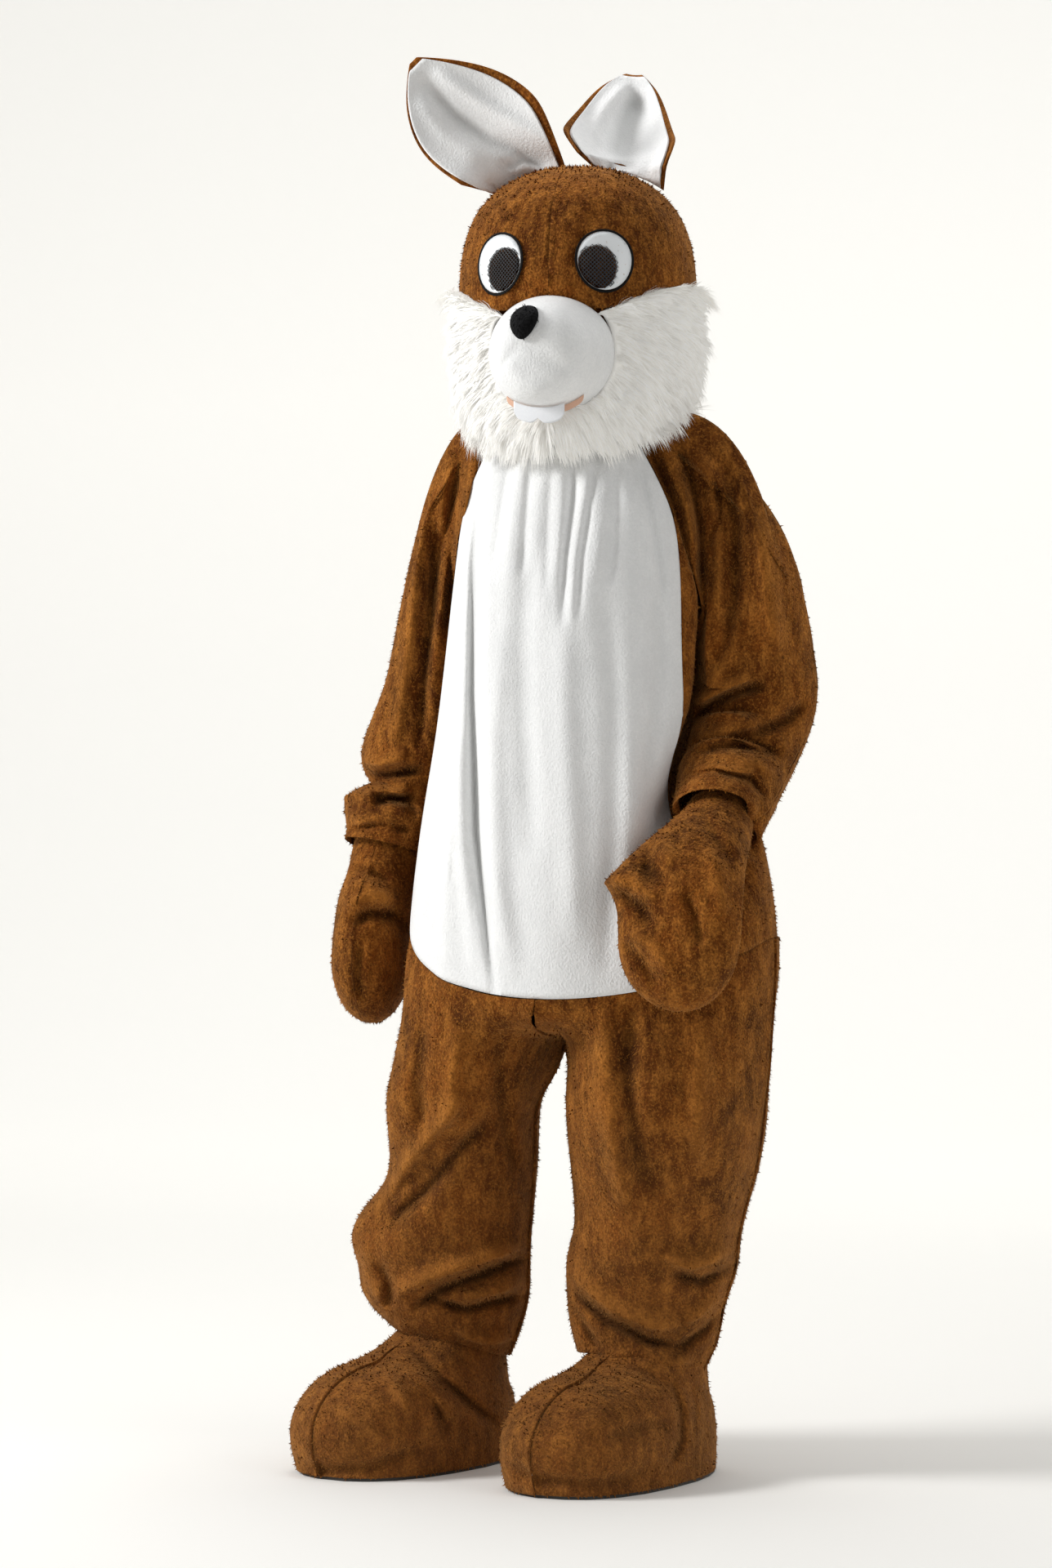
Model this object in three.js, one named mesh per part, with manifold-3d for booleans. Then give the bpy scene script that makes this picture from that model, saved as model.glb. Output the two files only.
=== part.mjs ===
// A rabbit costume in plush, as worn: a hooded mascot head with ears, a baggy one-piece suit with a
// white belly, mittens and overshoes. Millimetres, +Z up. The costume faces -Y and its left side is +X.
// Every cloth piece is a wall with its own seams. Heights are given above the floor, and the finished
// group is lowered so that the origin is where the wearer's shoulders carry the suit.
import * as THREE from "three";
import { mergeVertices } from "three/addons/utils/BufferGeometryUtils.js";
import Module from "manifold-3d";

// Driving dimensions
const NECK_HEIGHT = 1462; // neckline of the suit, and the origin
const SEAM = 0.3; // space between two pieces at a seam
const PLUSH = 3; // backing and short pile of the plush
const FELT = 2; // teeth and mouth
const CROTCH_HEIGHT = 600;
const WAIST_HEIGHT = 740; // where the upper part is sewn to the trousers
const BELLY_LOW = 661; // lowest point of the white belly
const RAGLAN_LOW = 1150; // underarm
const SOLE_THICKNESS = 4;

const DEG = Math.PI / 180;
const { clamp, lerp, smoothstep } = THREE.MathUtils;
const V = (x, y, z) => new THREE.Vector3(x, y, z);
const UP = V(0, 0, 1);

// A table with named columns, read between its rows on a smooth curve. The first column is the place.
function table(columns, rows) {
  const at = rows.map((row) => row[0]);
  const last = rows.length - 1;
  const rising = at[last] > at[0];
  const slope = (c, k) => {
    const [low, high] = [Math.max(k - 1, 0), Math.min(k + 1, last)];
    return (rows[high][c] - rows[low][c]) / (at[high] - at[low]);
  };
  return (place) => {
    let k = 0;
    while (k < last - 1 && (rising ? place > at[k + 1] : place < at[k + 1])) k++;
    const span = at[k + 1] - at[k];
    const t = clamp((place - at[k]) / span, 0, 1);
    const [t2, t3] = [t * t, t * t * t];
    return Object.fromEntries(
      columns.map((name, c) => [
        name,
        (2 * t3 - 3 * t2 + 1) * rows[k][c] +
          (t3 - 2 * t2 + t) * span * slope(c, k) +
          (3 * t2 - 2 * t3) * rows[k + 1][c] +
          (t3 - t2) * span * slope(c, k + 1),
      ]),
    );
  };
}

// Sine or cosine raised to a power with its sign kept: below 1 squares an oval off.
const squared = (value, power) => Math.sign(value) * Math.abs(value) ** power;
const cosine = (degrees, power) => Math.max(Math.cos(degrees * DEG), 0) ** power;
const sine = (degrees, power) => Math.max(Math.sin(degrees * DEG), 0) ** power;

// How far a list of folds moves the cloth out at (u, v), where u goes round and a full turn is turn:
// each fold is a soft ridge, or a trough when its height is below zero, along a line of the given half
// length that leans over by tilt.
function foldHeight(folds, u, v, turn) {
  return folds.reduce((sum, f) => {
    const [du, dv] = [THREE.MathUtils.euclideanModulo(u - f.u + turn / 2, turn) - turn / 2, v - f.v];
    const across = (du - f.tilt * dv) / f.wide;
    const along = dv / f.long;
    return sum + f.height * Math.exp(-across * across - along ** 4);
  }, 0);
}
const foldTable = (rows) =>
  rows.map(([u, v, wide, long, tilt, height]) => ({ u, v, wide, long, tilt, height }));

// The unit normal of a surface, a function of (u, v), from its slopes. spare is used at a pole.
function normalOf(surface, u, v, du, dv, flip, spare) {
  const along = surface(u + du, v).sub(surface(u - du, v));
  const up = surface(u, v + dv).sub(surface(u, v - dv));
  const n = along.cross(up).multiplyScalar(flip);
  return n.length() < 1e-3 * du * dv ? spare.clone() : n.normalize();
}

// A closed wall between two grids of points, outside and inside, rows of columns. Points that fall
// together at a pole are merged, and a ring is closed when loop is true.
function wallMesh(outside, inside, loop = false) {
  const columns = outside[0].length;
  const points = [];
  const seen = new Map();
  const idOf = (p) => {
    const key = [p.x, p.y, p.z].map((c) => Math.round(c * 500)).join();
    if (!seen.has(key)) {
      seen.set(key, points.length);
      points.push(p);
    }
    return seen.get(key);
  };
  const out = outside.map((row) => row.map(idOf));
  const into = inside.map((row) => row.map(idOf));
  const faces = [];
  const quad = (a, b, c, d) => {
    for (const face of [
      [a, b, c],
      [a, c, d],
    ])
      if (new Set(face).size === 3) faces.push(face);
  };
  const top = outside.length - 1;
  const right = columns - 1;
  for (let j = 0; j < top; j++) {
    for (let i = 0; i < (loop ? columns : right); i++) {
      const k = (i + 1) % columns;
      quad(out[j][i], out[j][k], out[j + 1][k], out[j + 1][i]);
      quad(into[j][i], into[j + 1][i], into[j + 1][k], into[j][k]);
    }
    if (!loop) {
      quad(out[j][0], out[j + 1][0], into[j + 1][0], into[j][0]);
      quad(out[j][right], into[j][right], into[j + 1][right], out[j + 1][right]);
    }
  }
  for (let i = 0; i < (loop ? columns : right); i++) {
    const k = (i + 1) % columns;
    quad(out[0][i], into[0][i], into[0][k], out[0][k]);
    quad(out[top][i], out[top][k], into[top][k], into[top][i]);
  }
  const volume = faces.reduce((sum, [a, b, c]) => {
    const [p, q, r] = [points[a], points[b], points[c]];
    return sum + p.dot(q.clone().cross(r));
  }, 0);
  const index = volume < 0 ? faces.flatMap(([a, b, c]) => [a, c, b]) : faces.flat();
  const geometry = new THREE.BufferGeometry().setFromPoints(points);
  geometry.setIndex(index);
  geometry.computeVertexNormals();
  return geometry;
}

// A panel on a surface. place(i, j) with i and j from 0 to 1 gives the surface's (u, v); out(i, j) is
// how far the wall's outer side stands off the surface, and thick(i, j) its thickness. Every edge is
// drawn in by half a seam, but not those listed in whole. apart moves the finished panel sideways,
// away from its other half, where the two halves meet in a point. turned may change a normal.
function panel(surface, place, columns, rows, options = {}) {
  const { du = 0.5, dv = 1, flip = 1, spare = UP, loop = false, apart = V(0, 0, 0) } = options;
  const { out = () => 0, thick = () => PLUSH, whole = "", allowance = SEAM / 2 } = options;
  const { turned = (u, v, n) => n } = options;
  const grid = (depth) =>
    Array.from({ length: rows + 1 }, (_, j) =>
      Array.from({ length: columns + (loop ? 0 : 1) }, (_, i) => {
        const [s, t] = [i / columns, j / rows];
        const [u, v] = place(s, t);
        const n = turned(u, v, normalOf(surface, u, v, du, dv, flip, spare));
        return surface(u, v).addScaledVector(n, out(s, t) - depth * thick(s, t)).add(apart);
      }),
    );
  const drawIn = (edge, next) => {
    const pull = next.map((p, k) => p.clone().sub(edge[k]));
    edge.forEach((p, k) => p.addScaledVector(pull[k].normalize(), allowance));
  };
  const drawnIn = (points) => {
    const side = (i) => points.map((row) => row[i]);
    if (!loop && !whole.includes("left")) drawIn(side(0), side(1));
    if (!loop && !whole.includes("right")) drawIn(side(columns), side(columns - 1));
    if (!whole.includes("low")) drawIn(points[0], points[1]);
    if (!whole.includes("high")) drawIn(points[rows], points[rows - 1]);
    return points;
  };
  return wallMesh(drawnIn(grid(0)), drawnIn(grid(1)), loop);
}

const materials = {
  brown: new THREE.MeshStandardMaterial({ color: 0x8a4d1c, roughness: 0.95 }),
  white: new THREE.MeshStandardMaterial({ color: 0xeef0ee, roughness: 0.95 }),
  fur: new THREE.MeshStandardMaterial({ color: 0xf3f3ea, roughness: 0.95 }),
  black: new THREE.MeshStandardMaterial({ color: 0x0b0a0a, roughness: 0.9 }),
  vinyl: new THREE.MeshStandardMaterial({ color: 0xdfe8ec, roughness: 0.5 }),
  felt: new THREE.MeshStandardMaterial({ color: 0xe8edf2, roughness: 0.9 }),
  peach: new THREE.MeshStandardMaterial({ color: 0xd9a583, roughness: 0.9 }),
  sole: new THREE.MeshStandardMaterial({ color: 0x2a1a12, roughness: 0.7 }),
};
const costume = new THREE.Group();
costume.position.z = -NECK_HEIGHT;
function add(name, geometry, material) {
  const mesh = new THREE.Mesh(geometry, materials[material]);
  mesh.name = name;
  costume.add(mesh);
}
const SIDES = [
  { name: "left", side: 1 },
  { name: "right", side: -1 },
];

// The arms: centre line and half sizes of each sleeve from below the shoulder to its cuff, then of the
// mitten from its cuff to its tip. wide is across, away from the body, and deep is front to back.
const ARM_COLUMNS = ["step", "x", "y", "z", "wide", "deep"];
const ARM_STEPS = 6;
const SLEEVES = {
  left: table(ARM_COLUMNS, [
    [0, 244, 38, 1125, 81, 84],
    [1, 245, 42, 1074, 88, 84],
    [2, 240, 24, 1020, 82, 80],
    [3, 234, -10, 978, 76, 74],
    [4, 231, -44, 948, 74, 68],
    [5, 230, -78, 922, 70, 64],
    [6, 230, -106, 898, 66, 60],
  ]),
  right: table(ARM_COLUMNS, [
    [0, -214, 56, 1125, 71, 80],
    [1, -228, 66, 1074, 73, 78],
    [2, -246, 72, 1019, 80, 80],
    [3, -258, 74, 973, 84, 82],
    [4, -265, 68, 930, 64, 72],
    [5, -277, 56, 896, 80, 80],
    [6, -285, 42, 850, 78, 78],
  ]),
};
// The thumb is cut in one with the mitten, and widens its inner side above the fold under it.
const MITTEN_COLUMNS = ["step", "x", "y", "z", "inner", "wide", "deep"];
const MITTENS = {
  left: table(MITTEN_COLUMNS, [
    [0, 230, -84, 914, 46, 46, 44],
    [0.12, 230, -112, 888, 54, 54, 46],
    [0.25, 226, -168, 860, 82, 64, 46],
    [0.38, 222, -208, 822, 114, 74, 46],
    [0.45, 221, -216, 806, 115, 77, 46],
    [0.52, 220, -221, 788, 100, 78, 46],
    [0.62, 217, -226, 762, 90, 80, 48],
    [0.8, 214, -228, 710, 89, 80, 48],
    [1, 212, -226, 648, 89, 80, 46],
  ]),
  right: table(MITTEN_COLUMNS, [
    [0, -284, 46, 872, 54, 54, 56],
    [0.12, -286, 40, 848, 56, 56, 60],
    [0.25, -290, 32, 815, 54, 54, 72],
    [0.42, -297, 22, 775, 52, 52, 84],
    [0.6, -303, 14, 725, 54, 54, 88],
    [0.8, -303, 8, 672, 55, 55, 86],
    [1, -300, 4, 613, 54, 54, 84],
  ]),
};
const MITTEN_ROUND = 0.7; // the mitten's outline begins to round off here
const roundOff = (v) => Math.sqrt(1 - clamp((v - MITTEN_ROUND) / (1 - MITTEN_ROUND), 0, 1) ** 2);
const pointOf = (row) => V(row.x, row.y, row.z);

// The suit above the trousers, in ovals. Angle 0 is the front and grows towards the costume's left.
const SUIT = table(
  ["z", "x", "y", "right", "left", "front", "back"],
  [
    [1470, 0, 12, 98, 98, 98, 92],
    [1452, 0, 12, 112, 112, 112, 108],
    [1411, 2, 12, 138, 138, 128, 128],
    [1374, 4, 12, 156, 156, 144, 140],
    [1323, 6, 12, 172, 176, 158, 152],
    [1244, 8, 12, 180, 188, 172, 166],
    [1131, 10, 10, 194, 190, 180, 180],
    [1018, 12, 8, 210, 198, 184, 190],
    [905, 14, 6, 232, 238, 184, 200],
    [800, 14, 4, 246, 262, 184, 208],
    [700, 14, 2, 254, 270, 186, 214],
    [560, 14, 0, 258, 272, 186, 214],
  ],
);

// Where an arm lies against the suit, the suit is pressed in, clear of the sleeve and mitten.
const PRESS_CLEAR = 14;
const presses = SIDES.flatMap(({ name }) => {
  const found = [];
  for (let step = 0; step <= ARM_STEPS; step += 0.2) found.push(SLEEVES[name](step));
  for (let step = 0.12; step <= 1; step += 0.08) found.push(MITTENS[name](step));
  return found.flatMap((row) => {
    const reach = (row.z > 880 ? Math.max(row.wide, row.deep) : Math.min(row.wide, row.deep)) + PRESS_CLEAR;
    const inner = pointOf(row).add(V(-Math.sign(row.x) * 0.5 * (row.inner ?? 0), 0, 0));
    return [
      { at: pointOf(row), reach },
      { at: inner, reach: row.inner ? reach : 0 },
    ];
  });
});
function pressedIn(p, middle) {
  const out = V(p.x - middle.x, p.y - middle.y, 0).normalize();
  let move = 0;
  for (const { at, reach } of presses) {
    if (at.clone().sub(middle).dot(out) < 0) continue;
    const from = p.clone().sub(at);
    const along = from.dot(out);
    const inside = along * along - from.lengthSq() + reach * reach;
    if (inside > 0) move = Math.max(move, along + Math.sqrt(inside));
  }
  return p.addScaledVector(out, -move);
}

// Gathers at the elasticated neck, and the long folds of the front and back: u is the angle and v the
// height, wide and long are in the same units, and tilt is the lean in degrees for each millimetre.
const NECK_GATHERS = 18;
const NECK_GATHER_HEIGHT = 6;
const SUIT_FOLDS = foldTable([
  [-38, 930, 3.2, 330, -0.012, 12],
  [-30, 930, 2.6, 330, -0.012, -9],
  [-14, 1330, 4, 120, 0.05, 9],
  [4, 1340, 5, 120, -0.03, 8],
  [19, 1310, 4.5, 150, 0.03, 10],
  [10, 1300, 4, 140, 0.03, -7],
  [38, 1350, 4, 110, 0.03, 7],
  [30, 900, 8, 260, 0.0, 7],
  [2, 820, 7, 180, 0.0, 6],
  [150, 1200, 9, 260, 0.01, 9],
  [178, 1250, 8, 220, 0.0, -7],
  [-152, 1180, 9, 280, -0.01, 10],
  [135, 950, 8, 240, 0.0, -8],
  [-135, 960, 8, 240, 0.0, -8],
  [165, 900, 9, 200, 0.02, 8],
  [-168, 880, 9, 220, -0.02, 8],
]);
function suitPoint(angle, z) {
  const s = SUIT(z);
  const turned = ((angle + 540) % 360) - 180;
  const [sin, cos] = [Math.sin(turned * DEG), Math.cos(turned * DEG)];
  const out = V((sin > 0 ? s.left : s.right) * sin, -(cos > 0 ? s.front : s.back) * cos, 0);
  const middle = V(s.x, s.y, z);
  const near = Math.exp(-(((NECK_HEIGHT - z) / 95) ** 2));
  const waves = Math.cos(NECK_GATHERS * turned * DEG + Math.sin(3 * turned * DEG));
  const height = foldHeight(SUIT_FOLDS, turned, z, 360) + NECK_GATHER_HEIGHT * near * waves;
  const p = middle.clone().add(out).addScaledVector(out.normalize(), height);
  return pressedIn(p, middle);
}

// Seams of the upper part. The raglan seam is a row of stations, at a number of degrees from the
// middle of the armhole, so that sleeve, belly and back have their seam points in common.
const STATIONS = [0, 8, 16, 24, 30, 34, 37.5, 40];
const RAGLAN_HALF = STATIONS.at(-1);
const raglanHeight = (off) =>
  RAGLAN_LOW + (NECK_HEIGHT - RAGLAN_LOW) * (off / RAGLAN_HALF) ** 2.2;
const BELLY_SIDES = { left: { angle: 60, station: 4 }, right: { angle: 74, station: 2 } };
const bellyLow = (angle) => BELLY_LOW + 82 * (Math.abs(angle) / 72) ** 2;
// Height of the seam between the upper part and the trousers, all the way round.
function waistHeight(angle) {
  const turned = ((angle + 540) % 360) - 180;
  const edge = turned > 0 ? BELLY_SIDES.left.angle : BELLY_SIDES.right.angle;
  const past = smoothstep(Math.abs(turned), edge, edge + 25);
  return lerp(bellyLow(Math.min(Math.abs(turned), edge)), WAIST_HEIGHT, past);
}

// The white belly: below, its side edges are seams with the back, and above they are raglan seams.
const BELLY_ROWS = 14;
const BELLY_COLUMNS = 18;
const bellyEdges = SIDES.map(({ name, side }) => {
  const { angle, station } = BELLY_SIDES[name];
  const upper = STATIONS.slice(station + 1).map((off) => [side * (90 - off), raglanHeight(off)]);
  const count = BELLY_ROWS - upper.length;
  const corner = raglanHeight(STATIONS[station]);
  const lower = Array.from({ length: count + 1 }, (_, k) => [
    side * angle,
    lerp(bellyLow(angle), corner, k / count),
  ]);
  return [...lower, ...upper];
});
const bellyPlace = (i, j) => {
  const row = Math.round(j * BELLY_ROWS);
  const [left, right] = bellyEdges.map((edge) => edge[row]);
  const angle = lerp(right[0], left[0], i);
  const [leftLow, rightLow] = bellyEdges.map((edge) => edge[0][1]);
  const dip = bellyLow(angle) - lerp(rightLow, leftLow, i);
  return [angle, lerp(right[1], left[1], i) + dip * (1 - j) ** 1.5];
};
add("front_belly", panel(suitPoint, bellyPlace, BELLY_COLUMNS, BELLY_ROWS), "white");

// The back, in two halves, from the belly's edge round to the centre back.
const PLACKET_HALF = 9; // in degrees
const backAngles = ({ name }) => {
  const { station } = BELLY_SIDES[name];
  const front = STATIONS.slice(0, station + 1).reverse();
  const rear = STATIONS.slice(1);
  return [
    ...front.map((off) => ({ angle: 90 - off, high: raglanHeight(off) })),
    ...rear.map((off) => ({ angle: 90 + off, high: raglanHeight(off) })),
    ...[140, 150, 161, 180 - PLACKET_HALF, 180].map((angle) => ({ angle, high: NECK_HEIGHT })),
  ];
};
const backRows = ({ name }) => BELLY_ROWS - (STATIONS.length - 1 - BELLY_SIDES[name].station);
for (const which of SIDES) {
  const columns = backAngles(which);
  const place = (i, j) => {
    const { angle, high } = columns[Math.round(i * (columns.length - 1))];
    return [which.side * angle, lerp(waistHeight(which.side * angle), high, j)];
  };
  const apart = V((which.side * SEAM) / 2, 0, 0);
  add(`back_${which.name}`, panel(suitPoint, place, columns.length - 1, backRows(which), { apart }), "brown");
}

// A plain plush strip covers the centre back opening, from the waist to the neck.
const placketPlace = (i, j) => [180 + lerp(-PLACKET_HALF, PLACKET_HALF, i), lerp(790, 1448, j)];
add(
  "back_placket",
  panel(suitPoint, placketPlace, 2, 12, { out: () => PLUSH + 7 * SEAM }),
  "brown",
);

// Raglan sleeves. Going round, 0 is the underarm, 0.25 the front, 0.5 the top and 0.75 the back. The
// first stretch leaves the raglan seam along the suit and runs over the shoulder to the first section.
const SHOULDER_ROWS = 5;
const ARM_ROWS = 11;
const TOP_COLUMNS = 2;
const SEAM_STEPS = STATIONS.length - 1 + TOP_COLUMNS; // columns of half a sleeve
const LEAVE = { left: 1.54, right: 1.25, arm: 1.22 }; // how firmly the curve holds its direction
const SHOULDER_SLOPE = 0.38; // fall of the shoulder for each millimetre out
const raglanPlace = (side, b) => {
  const front = b < 0.5 ? -1 : 1;
  const step = (b < 0.5 ? b : 1 - b) * 2 * SEAM_STEPS;
  const last = STATIONS.length - 1;
  if (step > last) {
    const down = (step - last) / TOP_COLUMNS;
    return { angle: side * (90 + front * RAGLAN_HALF * (1 - down)), z: NECK_HEIGHT, hold: 1, down };
  }
  const k = Math.min(Math.floor(step), last - 1);
  const off = lerp(STATIONS[k], STATIONS[k + 1], step - k);
  const hold = smoothstep(off, 3, 16);
  return { angle: side * (90 + front * off), z: raglanHeight(off), hold, down: 0, front, off };
};
function armRing(line, v, b, section = line(v)) {
  const way = pointOf(line(v + 0.02)).sub(pointOf(line(v - 0.02))).normalize();
  const outward = V(Math.sign(section.x), 0, 0);
  outward.addScaledVector(way, -outward.dot(way)).normalize();
  const front = way.clone().cross(outward);
  if (front.y > 0) front.negate();
  const turn = b * 2 * Math.PI;
  const wide = Math.cos(turn) > 0 ? (section.inner ?? section.wide) : section.wide;
  return pointOf(section)
    .addScaledVector(outward, -wide * Math.cos(turn))
    .addScaledVector(front, section.deep * Math.sin(turn));
}
// Folds of the sleeves: u goes round and v is the step down the arm, below 0 over the shoulder.
const SLEEVE_FOLDS = {
  left: foldTable([
    [0.17, -0.1, 0.03, 1.2, 0.01, 12],
    [0.25, -0.2, 0.028, 1.2, 0.0, -12],
    [0.33, -0.2, 0.03, 1.1, -0.01, 11],
    [0.57, 0.2, 0.05, 1.2, 0.0, 7],
    [0.12, 1.6, 0.09, 0.3, 0.1, 12],
    [0.2, 2.1, 0.1, 0.28, 0.1, -13],
    [0.22, 2.6, 0.12, 0.26, 0.1, 12],
    [0.24, 3.2, 0.16, 0.28, 0.05, -12],
    [0.24, 3.9, 0.18, 0.28, 0.0, 10],
    [0.22, 4.7, 0.2, 0.28, 0.0, -8],
    [0.7, 2.4, 0.12, 0.3, 0.0, -9],
    [0.7, 3.6, 0.14, 0.3, 0.0, -8],
  ]),
  right: foldTable([
    [0.2, -0.1, 0.035, 1.3, 0.0, 11],
    [0.28, 0, 0.028, 1.3, 0.0, -11],
    [0.36, 0, 0.035, 1.3, 0.0, 9],
    [0.62, 0.2, 0.05, 1.3, 0.0, 7],
    [0.35, 4.0, 0.3, 0.3, 0.05, -9],
    [0.85, 4.0, 0.2, 0.3, 0.0, -8],
    [0.35, 4.8, 0.35, 0.35, 0.0, 9],
    [0.3, 5.4, 0.3, 0.22, 0.0, -7],
  ]),
};
function sleevePoint({ name, side }) {
  const arm = SLEEVES[name];
  const first = pointOf(arm(0));
  const suitMiddle = SUIT(NECK_HEIGHT);
  const base = (b, v) => {
    if (v >= 0) return armRing(arm, v, b);
    const { angle, z, hold, down, front, off } = raglanPlace(side, b);
    const start = suitPoint(angle, z);
    const end = armRing(arm, 0, b);
    const chord = start.distanceTo(end);
    const out = V(start.x - suitMiddle.x, start.y - suitMiddle.y, 0).normalize();
    const above = () => suitPoint(angle - side * front * 3, z + 6 * (1 - off / 60));
    const beyond = down ? suitPoint(angle, z - 8) : above();
    const leave = beyond.sub(start).normalize().multiplyScalar(hold);
    leave.addScaledVector(end.clone().sub(start).normalize(), 1 - hold).normalize();
    leave.lerp(out.setZ(-SHOULDER_SLOPE).normalize(), 0.8 * down).normalize();
    const way = pointOf(arm(0.4)).sub(first).normalize();
    const t = 1 + v;
    const [t2, t3] = [t * t, t * t * t];
    return start
      .clone()
      .multiplyScalar(2 * t3 - 3 * t2 + 1)
      .addScaledVector(leave, (t3 - 2 * t2 + t) * lerp(1, LEAVE[name], hold) * chord)
      .addScaledVector(end, 3 * t2 - 2 * t3)
      .addScaledVector(way, (t3 - t2) * LEAVE.arm * chord);
  };
  return (b, v) => {
    const turn = (b + 1) % 1;
    const p = base(turn, v);
    const height = foldHeight(SLEEVE_FOLDS[name], turn, v, 1) * smoothstep(v, -1, -0.75);
    if (Math.abs(height) < 0.01) return p;
    const middle = base((turn + 0.5) % 1, v).lerp(p, 0.5);
    return p.addScaledVector(p.clone().sub(middle).normalize(), height);
  };
}
for (const which of SIDES)
  for (const [half, from] of [
    ["front", 0],
    ["back", 0.5],
  ]) {
    const place = (i, j) => {
      const row = j * (SHOULDER_ROWS + ARM_ROWS) - SHOULDER_ROWS;
      return [from + i / 2, row < 0 ? row / SHOULDER_ROWS : (row / ARM_ROWS) * ARM_STEPS];
    };
    add(
      `sleeve_${which.name}_${half}`,
      panel(sleevePoint(which), place, SEAM_STEPS, SHOULDER_ROWS + ARM_ROWS, {
        du: 0.004,
        dv: 0.03,
        flip: -which.side,
        allowance: 1.2 * SEAM,
        apart: V(which.side * 2.2 * SEAM, 0, 0),
        turned: (b, v, n) => {
          if (v > -1) return n;
          const { angle, z, hold } = raglanPlace(which.side, b);
          return hold < 1 ? n : normalOf(suitPoint, angle, z, 0.5, 1, 1, UP);
        },
      }),
      "brown",
    );
  }

// Mittens: a back and a palm that meet round the outline. The left mitten is broad across the body and
// the right one is broad from front to back, so their seams lie a quarter apart.
const MITTEN_FOLDS = {
  left: foldTable([
    [0.13, 0.53, 0.09, 0.035, 0, -20],
    [0.16, 0.42, 0.1, 0.05, 0, 8],
    [0.3, 0.5, 0.09, 0.03, 0, -9],
    [0.2, 0.66, 0.08, 0.03, 0, -8],
    [0.22, 0.6, 0.1, 0.03, 0, 6],
  ]),
  right: foldTable([
    [0.25, 0.5, 0.14, 0.03, 0, -14],
    [0.3, 0.4, 0.16, 0.05, 0, 8],
    [0.6, 0.3, 0.16, 0.03, 0, -7],
  ]),
};
const mittenPoint = ({ name }) => (b, v) => {
  const section = MITTENS[name](v);
  const move = foldHeight(MITTEN_FOLDS[name], b, v, 1);
  const size = roundOff(v);
  const [inner, wide, deep] = ["inner", "wide", "deep"].map((key) => (section[key] + move) * size);
  return armRing(MITTENS[name], v, b, { ...section, inner, wide, deep });
};
const MITTEN_ROWS = 10;
for (const which of SIDES) {
  const quarter = which.side > 0 ? 0 : 0.25;
  const tip = pointOf(MITTENS[which.name](1)).sub(pointOf(MITTENS[which.name](0.8))).normalize();
  const apart = which.side > 0 ? V(0, -SEAM / 2, 0) : V(-SEAM / 2, 0, 0);
  for (const [half, from, away] of [
    ["back", quarter, 1],
    ["palm", quarter + 0.5, -1],
  ])
    add(
      `mitten_${which.name}_${half}`,
      panel(
        mittenPoint(which),
        (i, j) => [from + i / 2, j < 1 ? Math.sin((j * Math.PI) / 2) ** 1.1 : 1],
        7,
        MITTEN_ROWS,
        {
          du: 0.004,
          dv: 0.004,
          flip: -which.side,
          spare: tip,
          apart: apart.clone().multiplyScalar(away),
          whole: "left right high",
        },
      ),
      "brown",
    );
}

// Trousers. Round each leg, 0 is the outside seam, 90 the front, 180 the inside and -90 the back. Above
// the crotch a leg is half of the suit, and below it a ring of its own, with a soft change between.
const LEG_COLUMNS = ["z", "x", "y", "wide", "deep"];
const LEGS = {
  left: table(LEG_COLUMNS, [
    [566, 140, -14, 140, 182],
    [509, 133, -10, 138, 168],
    [453, 130, -4, 133, 150],
    [396, 124, 5, 125, 135],
    [340, 114, 12, 113, 122],
    [283, 104, 18, 121, 122],
    [227, 91, 22, 105, 105],
    [182, 89, 22, 107, 100],
    [100, 93, 22, 84, 84],
  ]),
  right: table(LEG_COLUMNS, [
    [566, -146, -14, 112, 150],
    [509, -164, -5, 104, 135],
    [453, -166, 12, 103, 120],
    [396, -171, 25, 101, 112],
    [340, -204, 33, 126, 120],
    [283, -207, 45, 124, 118],
    [227, -207, 58, 118, 112],
    [182, -202, 68, 98, 102],
    [100, -202, 70, 88, 90],
  ]),
};
const LEG_SPLIT = 560; // from here down each leg is a ring
const RISE_TOP = 640; // where the centre seams begin to curve under to the crotch
const centreLine = (z) => lerp(-12, 14, smoothstep(z, CROTCH_HEIGHT, 720));
const RISE_START = 100; // how far round the front and back reach above the crotch, in degrees
// Folds of the legs: u goes round in degrees and v is the height; here tilt leans each fold.
const LEG_FOLDS = {
  left: foldTable([
    [95, 420, 9, 150, 0.12, 10],
    [60, 380, 9, 160, 0.1, -8],
    [40, 450, 10, 160, 0.1, 8],
    [-90, 430, 12, 160, 0.05, 9],
    [-130, 380, 12, 140, -0.1, -8],
    [110, 310, 60, 14, 0, 10],
    [90, 270, 70, 13, 0, -13],
    [80, 236, 80, 14, 0, 11],
    [100, 200, 70, 12, 0, -11],
    [70, 172, 80, 13, 0, 9],
    [-90, 290, 70, 16, 0, 11],
    [-90, 250, 70, 13, 0, -11],
    [-90, 205, 80, 16, 0, 10],
  ]),
  right: foldTable([
    [100, 430, 9, 130, 0.2, 10],
    [70, 400, 9, 140, 0.2, -9],
    [45, 470, 10, 150, 0.15, 9],
    [150, 480, 10, 120, 0.1, 8],
    [-90, 440, 12, 160, -0.05, 9],
    [-140, 380, 12, 140, 0.1, -8],
    [30, 372, 50, 14, 0, -10],
    [70, 316, 70, 15, 0, 11],
    [100, 272, 70, 13, 0, -13],
    [60, 240, 80, 15, 0, 12],
    [110, 204, 70, 12, 0, -10],
    [-90, 300, 70, 16, 0, 11],
    [-90, 258, 70, 13, 0, -11],
    [-90, 210, 80, 16, 0, 9],
  ]),
};
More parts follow.
